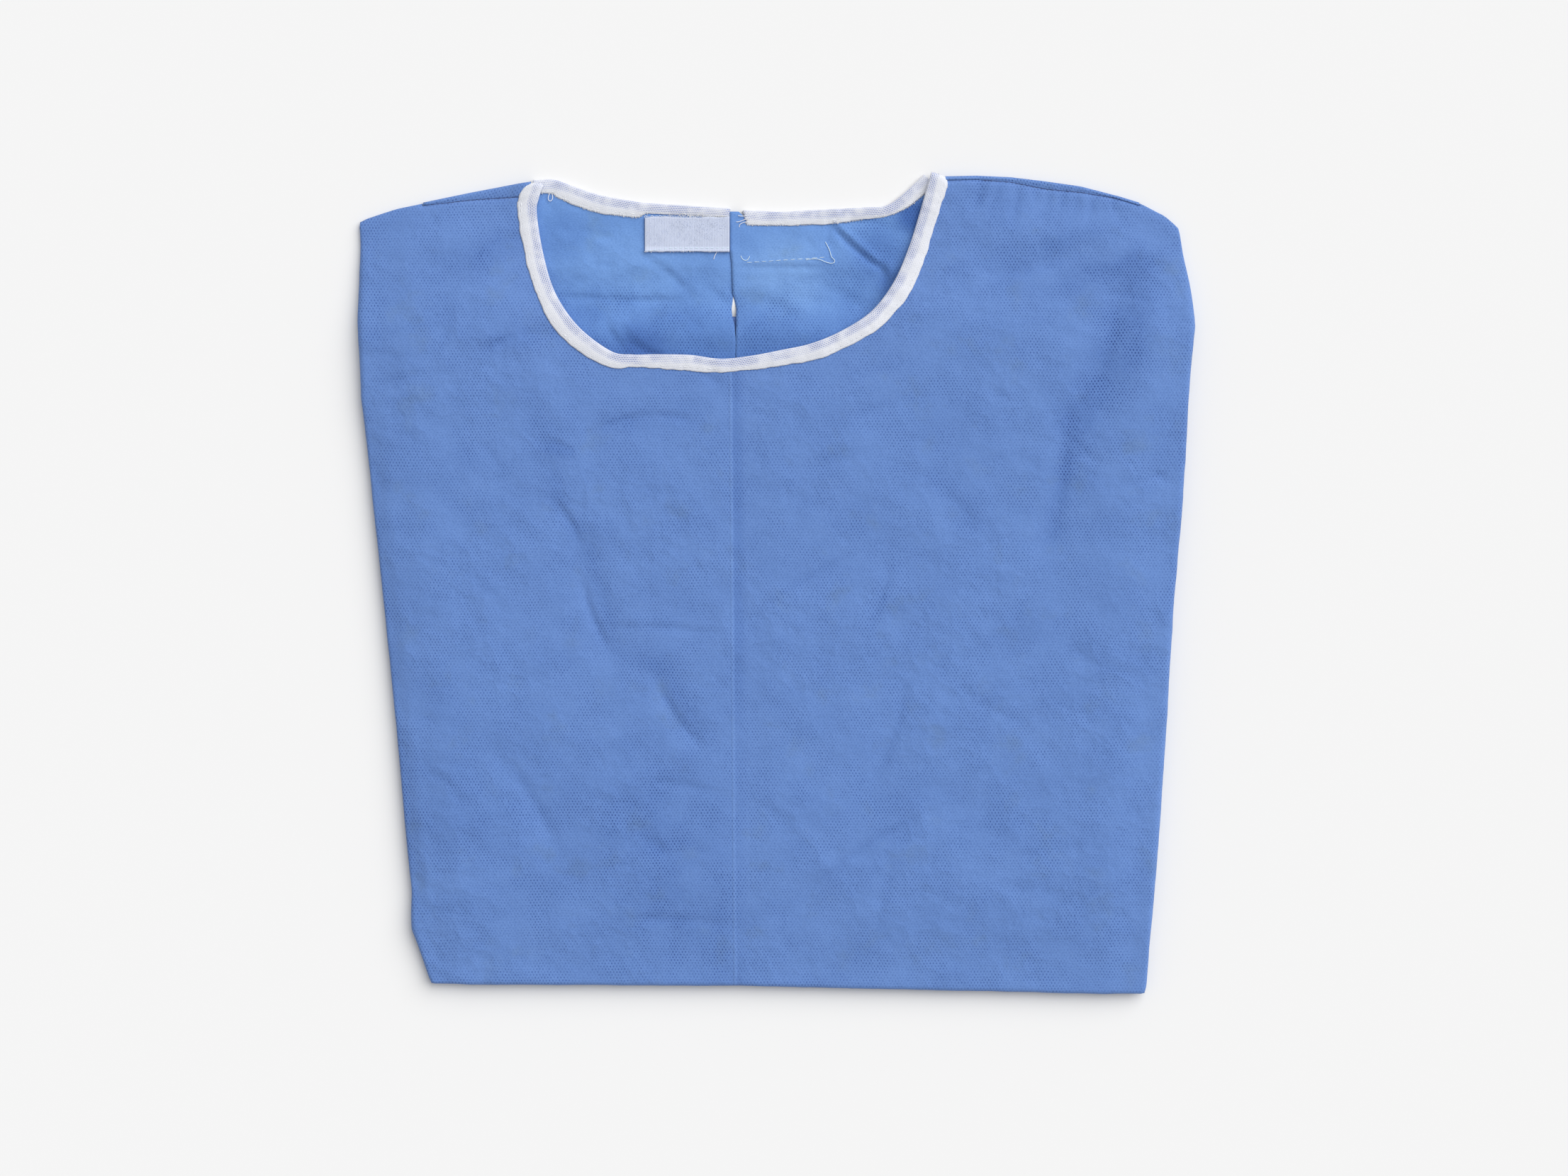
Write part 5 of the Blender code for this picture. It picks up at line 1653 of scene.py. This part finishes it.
TAPE_GRID, TAPE_RIM = (60, 26), 0.1
TAPE_RAGGED, TAPE_SOFT = ((7.0, 0.5), (2.5, 0.3)), ((18.0, 0.22), (6.0, 0.08))
LOOP_TAPE_RISE, HOOK_TAPE_LEVEL = 1.3, 0.9


def tape_piece(name, node, box, base, context):
    """Closure tape with ragged long edges and a soft unevenness, at a given level."""
    tape = context.scene.gown_tape
    left, right, low, high = box
    x = np.linspace(left, right, TAPE_GRID[0])
    y = np.linspace(low, high, TAPE_GRID[1])
    grid_x, grid_y = np.meshgrid(x, y, indexing="ij")
    ragged = waves(grid_x, grid_y, 4.4, TAPE_RAGGED)
    on_rim = np.abs(grid_y - (low + high) / 2.0) > (high - low) / 2.0 - TAPE_RIM
    grid_y = grid_y + ragged * on_rim
    soft = waves(grid_x, grid_y, 9.2, TAPE_SOFT)
    piece = Cloth()
    piece.grid(np.dstack([grid_x, grid_y, base + soft]), np.dstack([grid_x - left, grid_y - low]))
    made = piece.make(name, once("ribbed_tape", ribbed_tape, tape), tape.wall)
    settle(made, node)


class GOWN_OT_tapes(Operator):
    """Loop tape on the left back panel and hook tape under the right one"""
    bl_idname = "gown.tapes"
    bl_label = "Closure tapes"

    def execute(self, context):
        tape_piece("gown_loop_tape", "loop_tape", LOOP_TAPE_BOX,
                   tape_level() + LOOP_TAPE_RISE, context)
        tape_piece("gown_hook_tape", "hook_tape", HOOK_TAPE_BOX,
                   HOOK_TAPE_LEVEL, context)
        return {"FINISHED"}


def folded_top_y(x):
    """Upper edge of the folded layers: sleeve tops at the sides, the tail's fold between them."""
    sleeves = shoulder_y(x) - SLEEVE_TOP_INSET
    notch = ramp(x, *NOTCH_LEFT) * ramp(x, *NOTCH_RIGHT)
    return mix(sleeves, TAIL_EDGE_Y, notch)


# Places down the edge of a layer, from 0 at its top to 1, with how far out each lies: a fold, or
# two cut edges that lie open
FOLDED_EDGE = ((0.02, 0.0), (0.10, 0.55), (0.30, 0.90), (0.50, 1.0), (0.70, 0.90), (0.90, 0.55),
               (0.98, 0.0))
OPEN_EDGE = ((0.02, 0.0), (0.06, 0.92), (0.24, 1.0), (0.42, 0.92), (0.50, 0.15), (0.56, 0.80),
             (0.75, 0.88), (0.92, 0.80), (0.98, 0.0))
EDGE_WAVES, LAYERS_SHOW = ((38.0, 1.0), (13.0, 0.45)), (0.7, 1.6)


def layered_profile(low, top, x, y):
    """Lines of reach and height down the edge of the folded layers, from the top one."""
    lines = [(np.full_like(low, 0.5), mix(low, top, 0.75)),
             (np.full_like(low, 0.7), mix(low, top, 0.4)), (np.full_like(low, 0.1), low + 0.15)]
    level = low.copy()
    shown = ramp(low, *LAYERS_SHOW)
    for index, layer in reversed(list(enumerate(LAYERS))):
        thick = layer.share * low
        wander = waves(x, y, 11.0 + index, EDGE_WAVES) * layer.wander
        reach = mix(0.6, layer.reach + wander, shown)
        inner = mix(0.2, layer.reach - 3.0, shown)
        for down, out in FOLDED_EDGE if layer.folded else OPEN_EDGE:
            lines.append((mix(inner, reach, out), level - thick * down))
        level = level - thick
    return lines


FOLDED_ROWS, FOLDED_TOP_ROWS, FOLDED_COLUMNS = 96, 16, 110
FOLDED_FEET, FOLDED_WIDEST_Y, TAIL_SLACK_RUN = (-190.0, 200.0), 190.0, 10.0
LEAST_LOW_EDGE, EDGE_STEP, LEAST_EDGE = 0.8, 0.4, 0.3


def folded_plan():
    """Plan points of the folded layers, columns by rows: the block and its top stretch."""
    widest = (float(side_x(FOLDED_WIDEST_Y, "left")) + BLOCK_INSET,
              float(side_x(FOLDED_WIDEST_Y, "right")) - BLOCK_INSET)
    share = np.linspace(0.0, 1.0, FOLDED_COLUMNS + 1)[:, None]
    top = folded_top_y(mix(*widest, share))
    foot = bottom_y(mix(*FOLDED_FEET, share)) + BLOCK_INSET
    up = np.linspace(0.0, 1.0, FOLDED_ROWS + 1)[None, :]
    on = np.linspace(0.0, 1.0, FOLDED_TOP_ROWS + 1)[None, 1:]
    y = np.hstack([mix(foot, TAIL_TOP, up), mix(TAIL_TOP, top, on)])
    return mix(side_x(y, "left") + BLOCK_INSET, side_x(y, "right") - BLOCK_INSET, share), y


def rim(ids):
    """Numbers of the points round a grid, back to the first."""
    around = np.concatenate([ids[0, :0:-1], ids[:-1, 0], ids[-1, :-1], ids[:0:-1, -1]])
    return np.append(around, around[0])


class GOWN_OT_folded_layers(Operator):
    """Sleeves, side wings and both passes of the tail, folded behind and layered at the edges"""
    bl_idname = "gown.folded_layers"
    bl_label = "Folded layers"

    def execute(self, context):
        x, y = folded_plan()
        slack = TAIL_EDGE_SLACK * ramp(y, TAIL_TOP - TAIL_SLACK_RUN, TAIL_EDGE_Y)
        height = back_pile(x, y) * (1.0 - slack) - PILE_CLEAR
        piece = Cloth()
        ids = piece.grid(np.dstack([x, y, height]), np.dstack([x, y]))
        under = piece.grid(np.dstack([x, y, np.zeros_like(x)]), np.dstack([x, y]))
        line = rim(ids)
        places = np.array(piece.points)[line]
        sides = outward(np.vstack([places[-2], places, places[1]]))[1:-1]
        crest = places[:, 2]
        low = np.maximum(return_height(places[:, 1]) - HALF - EDGE_STEP, LEAST_LOW_EDGE)
        low = np.minimum(low, crest - LEAST_EDGE)
        run = 0.0
        reach_before, height_before = np.zeros_like(low), crest
        for reach, level in layered_profile(low, crest, places[:, 0], places[:, 1]):
            run = run + np.hypot(reach - reach_before, level - height_before)
            reach_before, height_before = reach, level
            points = np.column_stack([places[:, :2] + sides * reach[:, None], level])
            cut = places[:, :2] + sides * run[:, None]
            after = piece.add(points[:-1], cut[:-1])
            line = piece.join(line, np.append(after, after[0]))
        piece.join(line, rim(under))
        settle(piece.make("gown_folded_layers", shaded_layers_cloth()), "folded_layers")
        return {"FINISHED"}


def line_object(name, points):
    """Open line of points in millimetres, as the guide of a row."""
    data = bpy.data.meshes.new(name)
    data.from_pydata((np.asarray(points, float) * MM).tolist(),
                     [(k, k + 1) for k in range(len(points) - 1)], [])
    return placed(name, data)


ROW_INPUTS = {"Pitch": "Float", "Length": "Float", "Thickness": "Float", "Turn": "Float",
              "Unevenness": "Float", "Loop": "Bool", "Seed": "Int", "Finish": "Material"}
PILE_INPUTS = {"Density": "Float", "Size": "Float", "Seed": "Int", "Finish": "Material"}


def new_tree(name, inputs):
    """Empty node tree on a geometry with named inputs; gives it and what it is given."""
    tree = bpy.data.node_groups.new(name, "GeometryNodeTree")
    face = tree.interface
    face.new_socket(name="Geometry", in_out="OUTPUT", socket_type="NodeSocketGeometry")
    for label, kind in {"Geometry": "Geometry", **inputs}.items():
        face.new_socket(name=label, in_out="INPUT", socket_type=f"NodeSocket{kind}")
    return tree, tree.nodes.new("NodeGroupInput").outputs


def bent_wire(tree, steps, sweep, sides, thickness):
    """Small loop: an arc one unit across with a round section."""
    arc = joined(tree, "GeometryNodeCurveArc", {"Resolution": steps, "Radius": 0.5,
                                                "Sweep Angle": sweep})
    ring = joined(tree, "GeometryNodeCurvePrimitiveCircle", {"Resolution": sides,
                                                             "Radius": thickness})
    return joined(tree, "GeometryNodeCurveToMesh", {"Curve": arc.outputs[0],
                                                    "Profile Curve": ring.outputs[0]}).outputs[0]


def three(tree, x, y, z):
    """Vector of three values."""
    return joined(tree, "ShaderNodeCombineXYZ", {"X": x, "Y": y, "Z": z}).outputs[0]


def turned_by(tree, least, most, seed):
    """Random vector between two, for each copy."""
    return joined(tree, "FunctionNodeRandomValue", {0: least, 1: most, "Seed": seed},
                  data_type="FLOAT_VECTOR").outputs[0]


def row_tree(name="row_along_line"):
    """Node tree that sets copies of a stitch or a small loop along a line."""
    tree, given = new_tree(name, ROW_INPUTS)
    line = joined(tree, "GeometryNodeMeshToCurve", {"Mesh": given["Geometry"]})
    even = joined(tree, "GeometryNodeResampleCurve", {"Curve": line.outputs[0],
                                                      "Length": given["Pitch"]}, mode="LENGTH")
    bead = joined(tree, "GeometryNodeMeshUVSphere", {"Segments": 8, "Rings": 5, "Radius": 0.5})
    curl = bent_wire(tree, 7, math.radians(230), 4, 0.13)
    shape = joined(tree, "GeometryNodeSwitch", {"Switch": given["Loop"], "False": bead.outputs[0],
                                                "True": curl}, input_type="GEOMETRY")
    tangent = joined(tree, "GeometryNodeInputTangent")
    along = joined(tree, "FunctionNodeAlignRotationToVector", {"Vector": tangent.outputs[0]},
                   axis="X")
    back, ahead = (times(tree, given["Turn"], sign) for sign in (-1.0, 1.0))
    turn = turned_by(tree, three(tree, back, back, back), three(tree, ahead, ahead, ahead),
                     given["Seed"])
    turn = joined(tree, "FunctionNodeEulerToRotation", {0: turn})
    turned = joined(tree, "FunctionNodeRotateRotation", {
        "Rotation": along.outputs[0], "Rotate By": turn.outputs[0]}, rotation_space="LOCAL")
    uneven = joined(tree, "FunctionNodeRandomValue", {
        2: minus(tree, 1.0, given["Unevenness"]), 3: plus(tree, 1.0, given["Unevenness"]),
        "Seed": given["Seed"]}, data_type="FLOAT")
    size = three(tree, given["Length"], given["Thickness"], given["Thickness"])
    scaled = joined(tree, "ShaderNodeVectorMath", {0: size, "Scale": uneven.outputs[1]},
                    operation="SCALE")
    copies = joined(tree, "GeometryNodeInstanceOnPoints", {
        "Points": even.outputs[0], "Instance": shape.outputs[0], "Rotation": turned.outputs[0],
        "Scale": scaled.outputs[0]})
    finish_tree(tree, copies.outputs[0], given["Finish"])
    return tree


def finish_tree(tree, copies, finish):
    """End of a tree: plain geometry with its material."""
    real = joined(tree, "GeometryNodeRealizeInstances", {0: copies})
    soft = joined(tree, "GeometryNodeSetShadeSmooth", {0: real.outputs[0]})
    dressed = joined(tree, "GeometryNodeSetMaterial", {"Geometry": soft.outputs[0],
                                                       "Material": finish})
    joined(tree, "NodeGroupOutput", {0: dressed.outputs[0]})


def pile_tree(name="pile_on_surface"):
    """Node tree that covers a surface's upper side with small loops."""
    tree, given = new_tree(name, PILE_INPUTS)
    spots = joined(tree, "GeometryNodeDistributePointsOnFaces", {
        "Mesh": given["Geometry"], "Density": given["Density"], "Seed": given["Seed"]})
    stood = joined(tree, "GeometryNodeTransform", {
        "Geometry": bent_wire(tree, 5, math.pi, 3, 0.10), "Rotation": (math.pi / 2.0, 0.0, 0.0)})
    turn = turned_by(tree, (-0.5, -0.5, -math.pi), (0.5, 0.5, math.pi), given["Seed"])
    copies = joined(tree, "GeometryNodeInstanceOnPoints", {
        "Points": spots.outputs[0], "Instance": stood.outputs[0], "Rotation": turn,
        "Scale": three(tree, given["Size"], given["Size"], given["Size"])})
    finish_tree(tree, copies.outputs[0], given["Finish"])
    return tree


def shared(make):
    """Node tree that is made the first time it is asked for."""
    return bpy.data.node_groups.get(make.__defaults__[0]) or make()


def grown(guide, tree, values):
    """Run a tree on a guide with its inputs set, and keep the result as a plain mesh."""
    grow = guide.modifiers.new("grow", "NODES")
    grow.node_group = tree
    for socket in tree.interface.items_tree:
        if socket.item_type == "SOCKET" and socket.in_out == "INPUT" and socket.name in values:
            grow[socket.identifier] = values[socket.name]
    return bake(guide)


def row_of(name, points, finish, slot, thread, **values):
    """Row of stitches or loops along a line of points."""
    made = grown(line_object(name, points), shared(row_tree),
                 {"Seed": thread.seed, "Finish": finish, **values})
    settle(made, None)


def stitch_row(name, points, finish, slot, thread, length=None, wide=2.0):
    """Row of stitches along a line of points."""
    length = length or thread.stitch
    row_of(name, points, finish, slot, thread, Pitch=length + thread.gap, Length=length,
           Thickness=thread.radius * wide, Turn=0.05, Unevenness=0.08, Loop=False)


def fray_row(name, points, pitch, finish, slot, thread):
    """Row of tiny loops along a knit's cut edge."""
    row_of(name, points, finish, slot, thread, Pitch=pitch, Length=thread.fray,
           Thickness=thread.fray, Turn=0.5, Unevenness=0.45, Loop=True)


def along_binding(path, height, from_edge, lift, ends):
    """Line along a binding, a distance in from its sewn edge."""
    distance = np.linspace(ends[0], path.length - ends[1], int(path.length))
    fold, inward, width = path.at(distance)[:3]
    place = fold + inward * (width - from_edge)[:, None]
    return np.column_stack([place, height(place[:, 0], place[:, 1]) + lift])


def seam_stitches(finish, thread):
    """Stitches of both shoulder seams."""
    for name, seam in (("gown_seam_left", LEFT_SEAM), ("gown_seam_right", RIGHT_SEAM)):
        x = np.linspace(*seam, 80)
        y = seam_y(x) + 0.15
        stitch_row(name, np.column_stack([x, y, front_height(x, y) + 0.16]), finish,
                   "blue_nonwoven", thread, 0.0022, 3.0)


def binding_stitches(finish, thread):
    """Stitches of the bindings, and the frayed edges of the two back stretches."""
    slot = "white_knit_binding"
    for name, _, _, path, height in BINDINGS:
        line = along_binding(path, height, 1.9, 0.98, (5.0, 5.0))
        stitch_row(name.replace("binding", "stitch"), line, finish, slot, thread)
        if path is FRONT_PATH:
            continue
        for row, (out, lift) in enumerate(((0.5, 0.80), (0.0, 0.60))):
            edge = along_binding(path, height, out, lift, (2.5, 3.0))
            fray_row(f"{name}_fray_{row}", edge, 0.0007, finish, slot, thread)


def tape_stitches(finish, fray, thread):
    """Stitches of both tapes, and the frayed edges of the loop tape."""
    slot = "white_closure_tape"
    left, right, low, high = LOOP_TAPE_BOX
    level = tape_level() + 1.75
    x = np.linspace(left + 3.0, right - 1.0, 30)
    y = TAPE_STITCH_Y - 1.4 * ramp(x, left + 16.0, left + 2.0)
    stitch_row("gown_stitch_loop_tape", np.column_stack([x, y, np.full(30, level)]), finish, slot,
               thread, 0.0021)
    for side, y_edge in (("low", low), ("high", high)):
        x = np.linspace(left + 0.5, right - 0.5, 40)
        line = np.column_stack([x, np.full(40, y_edge + 0.1), np.full(40, level - 0.35)])
        fray_row(f"gown_fray_tape_{side}", line, 0.0009, fray, slot, thread)
    (x1, y1), (x2, y2) = HOOK_STITCH
    x, y = np.linspace(x1, x2, 30), np.linspace(y1, y2, 30)
    line = np.column_stack([x, y, back_height(x, y) + 0.28])
    stitch_row("gown_stitch_hook_tape", line, finish, slot, thread, 0.0034, 1.8)


def thread_finishes(thread):
    """Finishes of the white and the pale thread."""
    return (once("white_thread", thread_finish, thread.white),
            once("pale_thread", thread_finish, thread.blue))


class GOWN_OT_stitches(Operator):
    """Stitch rows of the shoulder seams, the binding and the tapes, and the knit's frayed edges"""
    bl_idname = "gown.stitches"
    bl_label = "Stitches"

    def execute(self, context):
        thread = context.scene.gown_thread
        white, pale = thread_finishes(thread)
        seam_stitches(once("seam_thread", thread_finish, thread.dark), thread)
        binding_stitches(white, thread)
        tape_stitches(pale, white, thread)
        return {"FINISHED"}


def thread_tube(name, rows, finish, radius):
    """Free end of thread as a smooth tube through a few points over the back panels."""
    curve = bpy.data.curves.new(name, "CURVE")
    curve.dimensions = "3D"
    curve.bevel_depth = radius
    curve.bevel_resolution = 2
    curve.use_fill_caps = True
    spline = curve.splines.new("NURBS")
    spline.points.add(len(rows) - 1)
    for point, row in zip(spline.points, rows):
        z = float(back_height(row.x, row.y)) + row.lift
        point.co = (row.x * MM, row.y * MM, z * MM, 1.0)
    spline.order_u = 4
    spline.use_endpoint_u = True
    drawn = placed(name, curve)
    plain = bpy.data.meshes.new_from_object(
        drawn.evaluated_get(bpy.context.evaluated_depsgraph_get()))
    bpy.data.objects.remove(drawn)
    bpy.data.curves.remove(curve)
    plain.name = name
    plain.materials.clear()
    plain.materials.append(finish)
    plain.shade_smooth()
    settle(placed(name, plain), None)


class GOWN_OT_threads(Operator):
    """Loose ends and loops of sewing thread in the neck hole"""
    bl_idname = "gown.threads"
    bl_label = "Loose threads"

    def execute(self, context):
        thread = context.scene.gown_thread
        white, pale = thread_finishes(thread)
        tape, knit_slot = "white_closure_tape", "white_knit_binding"
        tails = [(f"gown_thread_binding_{index}", rows, white, knit_slot)
                 for index, rows in enumerate(BINDING_TAILS)]
        for name, rows, finish, slot in (
                ("gown_thread_hook_start", HOOK_THREAD, pale, tape),
                ("gown_thread_hook_end", TAIL_THREAD, pale, tape),
                ("gown_thread_neck_loop", NECK_LOOP, white, tape),
                ("gown_thread_tape_end", TAPE_TAIL, white, tape), *tails):
            thread_tube(name, rows, finish, thread.radius)
        return {"FINISHED"}


class GOWN_OT_pile(Operator):
    """Loops on the loop tape and hooks under the hook tape"""
    bl_idname = "gown.pile"
    bl_label = "Tape pile"

    def execute(self, context):
        tape = context.scene.gown_tape
        thread = context.scene.gown_thread
        finish = once("ribbed_tape", ribbed_tape, tape)
        for name, box, z, bare in (("gown_pile_loops", LOOP_TAPE_BOX, tape_level() + 1.62, 3.4),
                                   ("gown_pile_hooks", HOOK_TAPE_BOX, 0.55, 1.0)):
            left, right, low, high = box
            low, high = low + bare, high - 0.8
            piece = Cloth()
            x, y = np.meshgrid((left + 0.8, right - 0.8), (low, high), indexing="ij")
            piece.grid(np.dstack([x, y, np.full_like(x, z)]), np.dstack([x, y]))
            grown_pile = grown(piece.make(name, finish), shared(pile_tree), {
                "Density": tape.density, "Size": tape.pile, "Seed": thread.seed,
                "Finish": finish})
            settle(grown_pile, None)
        return {"FINISHED"}


SIGHT_END = 100.0


class GOWN_OT_stage(Operator):
    """Pale floor, soft light and the camera straight above"""
    bl_idname = "gown.stage"
    bl_label = "Stage"

    def execute(self, context):
        scene = context.scene
        stage = scene.gown_stage
        reach = stage.reach
        data = bpy.data.meshes.new("floor")
        corners = [(-reach, -reach, 0.0), (reach, -reach, 0.0), (reach, reach, 0.0),
                   (-reach, reach, 0.0)]
        data.from_pydata(corners, [], [(0, 1, 2, 3)])
        data.materials.append(once("floor", floor_finish, stage))
        placed("floor", data)

        world = bpy.data.worlds.new("even_light")
        world.use_nodes = True
        even = world.node_tree.nodes["Background"]
        even.inputs["Color"].default_value = (1.0, 1.0, 1.0, 1.0)
        even.inputs["Strength"].default_value = stage.fill
        scene.world = world

        light = bpy.data.lights.new("key", "SUN")
        light.energy = stage.key
        light.angle = stage.key_size
        placed("key", light).rotation_euler = (0.0, stage.key_tilt, stage.key_turn)

        lens = bpy.data.cameras.new("camera")
        distance = stage.camera_height - stage.sight_height
        lens.lens = lens.sensor_width * distance / stage.view_width
        lens.clip_end = SIGHT_END
        camera = placed("camera", lens)
        camera.location = (stage.view_x, stage.view_y, stage.camera_height)
        scene.camera = camera
        scene.view_settings.view_transform = "Standard"
        return {"FINISHED"}


STEPS = (GOWN_OT_stage, GOWN_OT_folded_layers, GOWN_OT_backs, GOWN_OT_front, GOWN_OT_bindings,
         GOWN_OT_tapes, GOWN_OT_pile, GOWN_OT_stitches, GOWN_OT_threads)


class GOWN_PT_sidebar(Panel):
    """Buttons and sizes of the folded visitor gown"""
    bl_idname = "GOWN_PT_sidebar"
    bl_label = "Visitor gown"
    bl_space_type = "VIEW_3D"
    bl_region_type = "UI"
    bl_category = "Visitor gown"

    def draw(self, context):
        for step in STEPS:
            self.layout.operator(step.bl_idname)
        for name, settings in SETTINGS.items():
            box = self.layout.box()
            for field in settings.__annotations__:
                box.prop(getattr(context.scene, name), field)


def register():
    """Register the classes and put the settings on the scene."""
    for name, settings in SETTINGS.items():
        bpy.utils.register_class(settings)
        setattr(bpy.types.Scene, name, PointerProperty(type=settings))
    for step in (*STEPS, GOWN_PT_sidebar):
        bpy.utils.register_class(step)


def unregister():
    """Take everything off again."""
    for step in reversed((*STEPS, GOWN_PT_sidebar)):
        bpy.utils.unregister_class(step)
    for name, settings in SETTINGS.items():
        delattr(bpy.types.Scene, name)
        bpy.utils.unregister_class(settings)


def main():
    """Build the gown and its stage."""
    register()
    for step in STEPS:
        group, name = step.bl_idname.split(".")
        getattr(getattr(bpy.ops, group), name)()


if __name__ == "__main__":
    main()
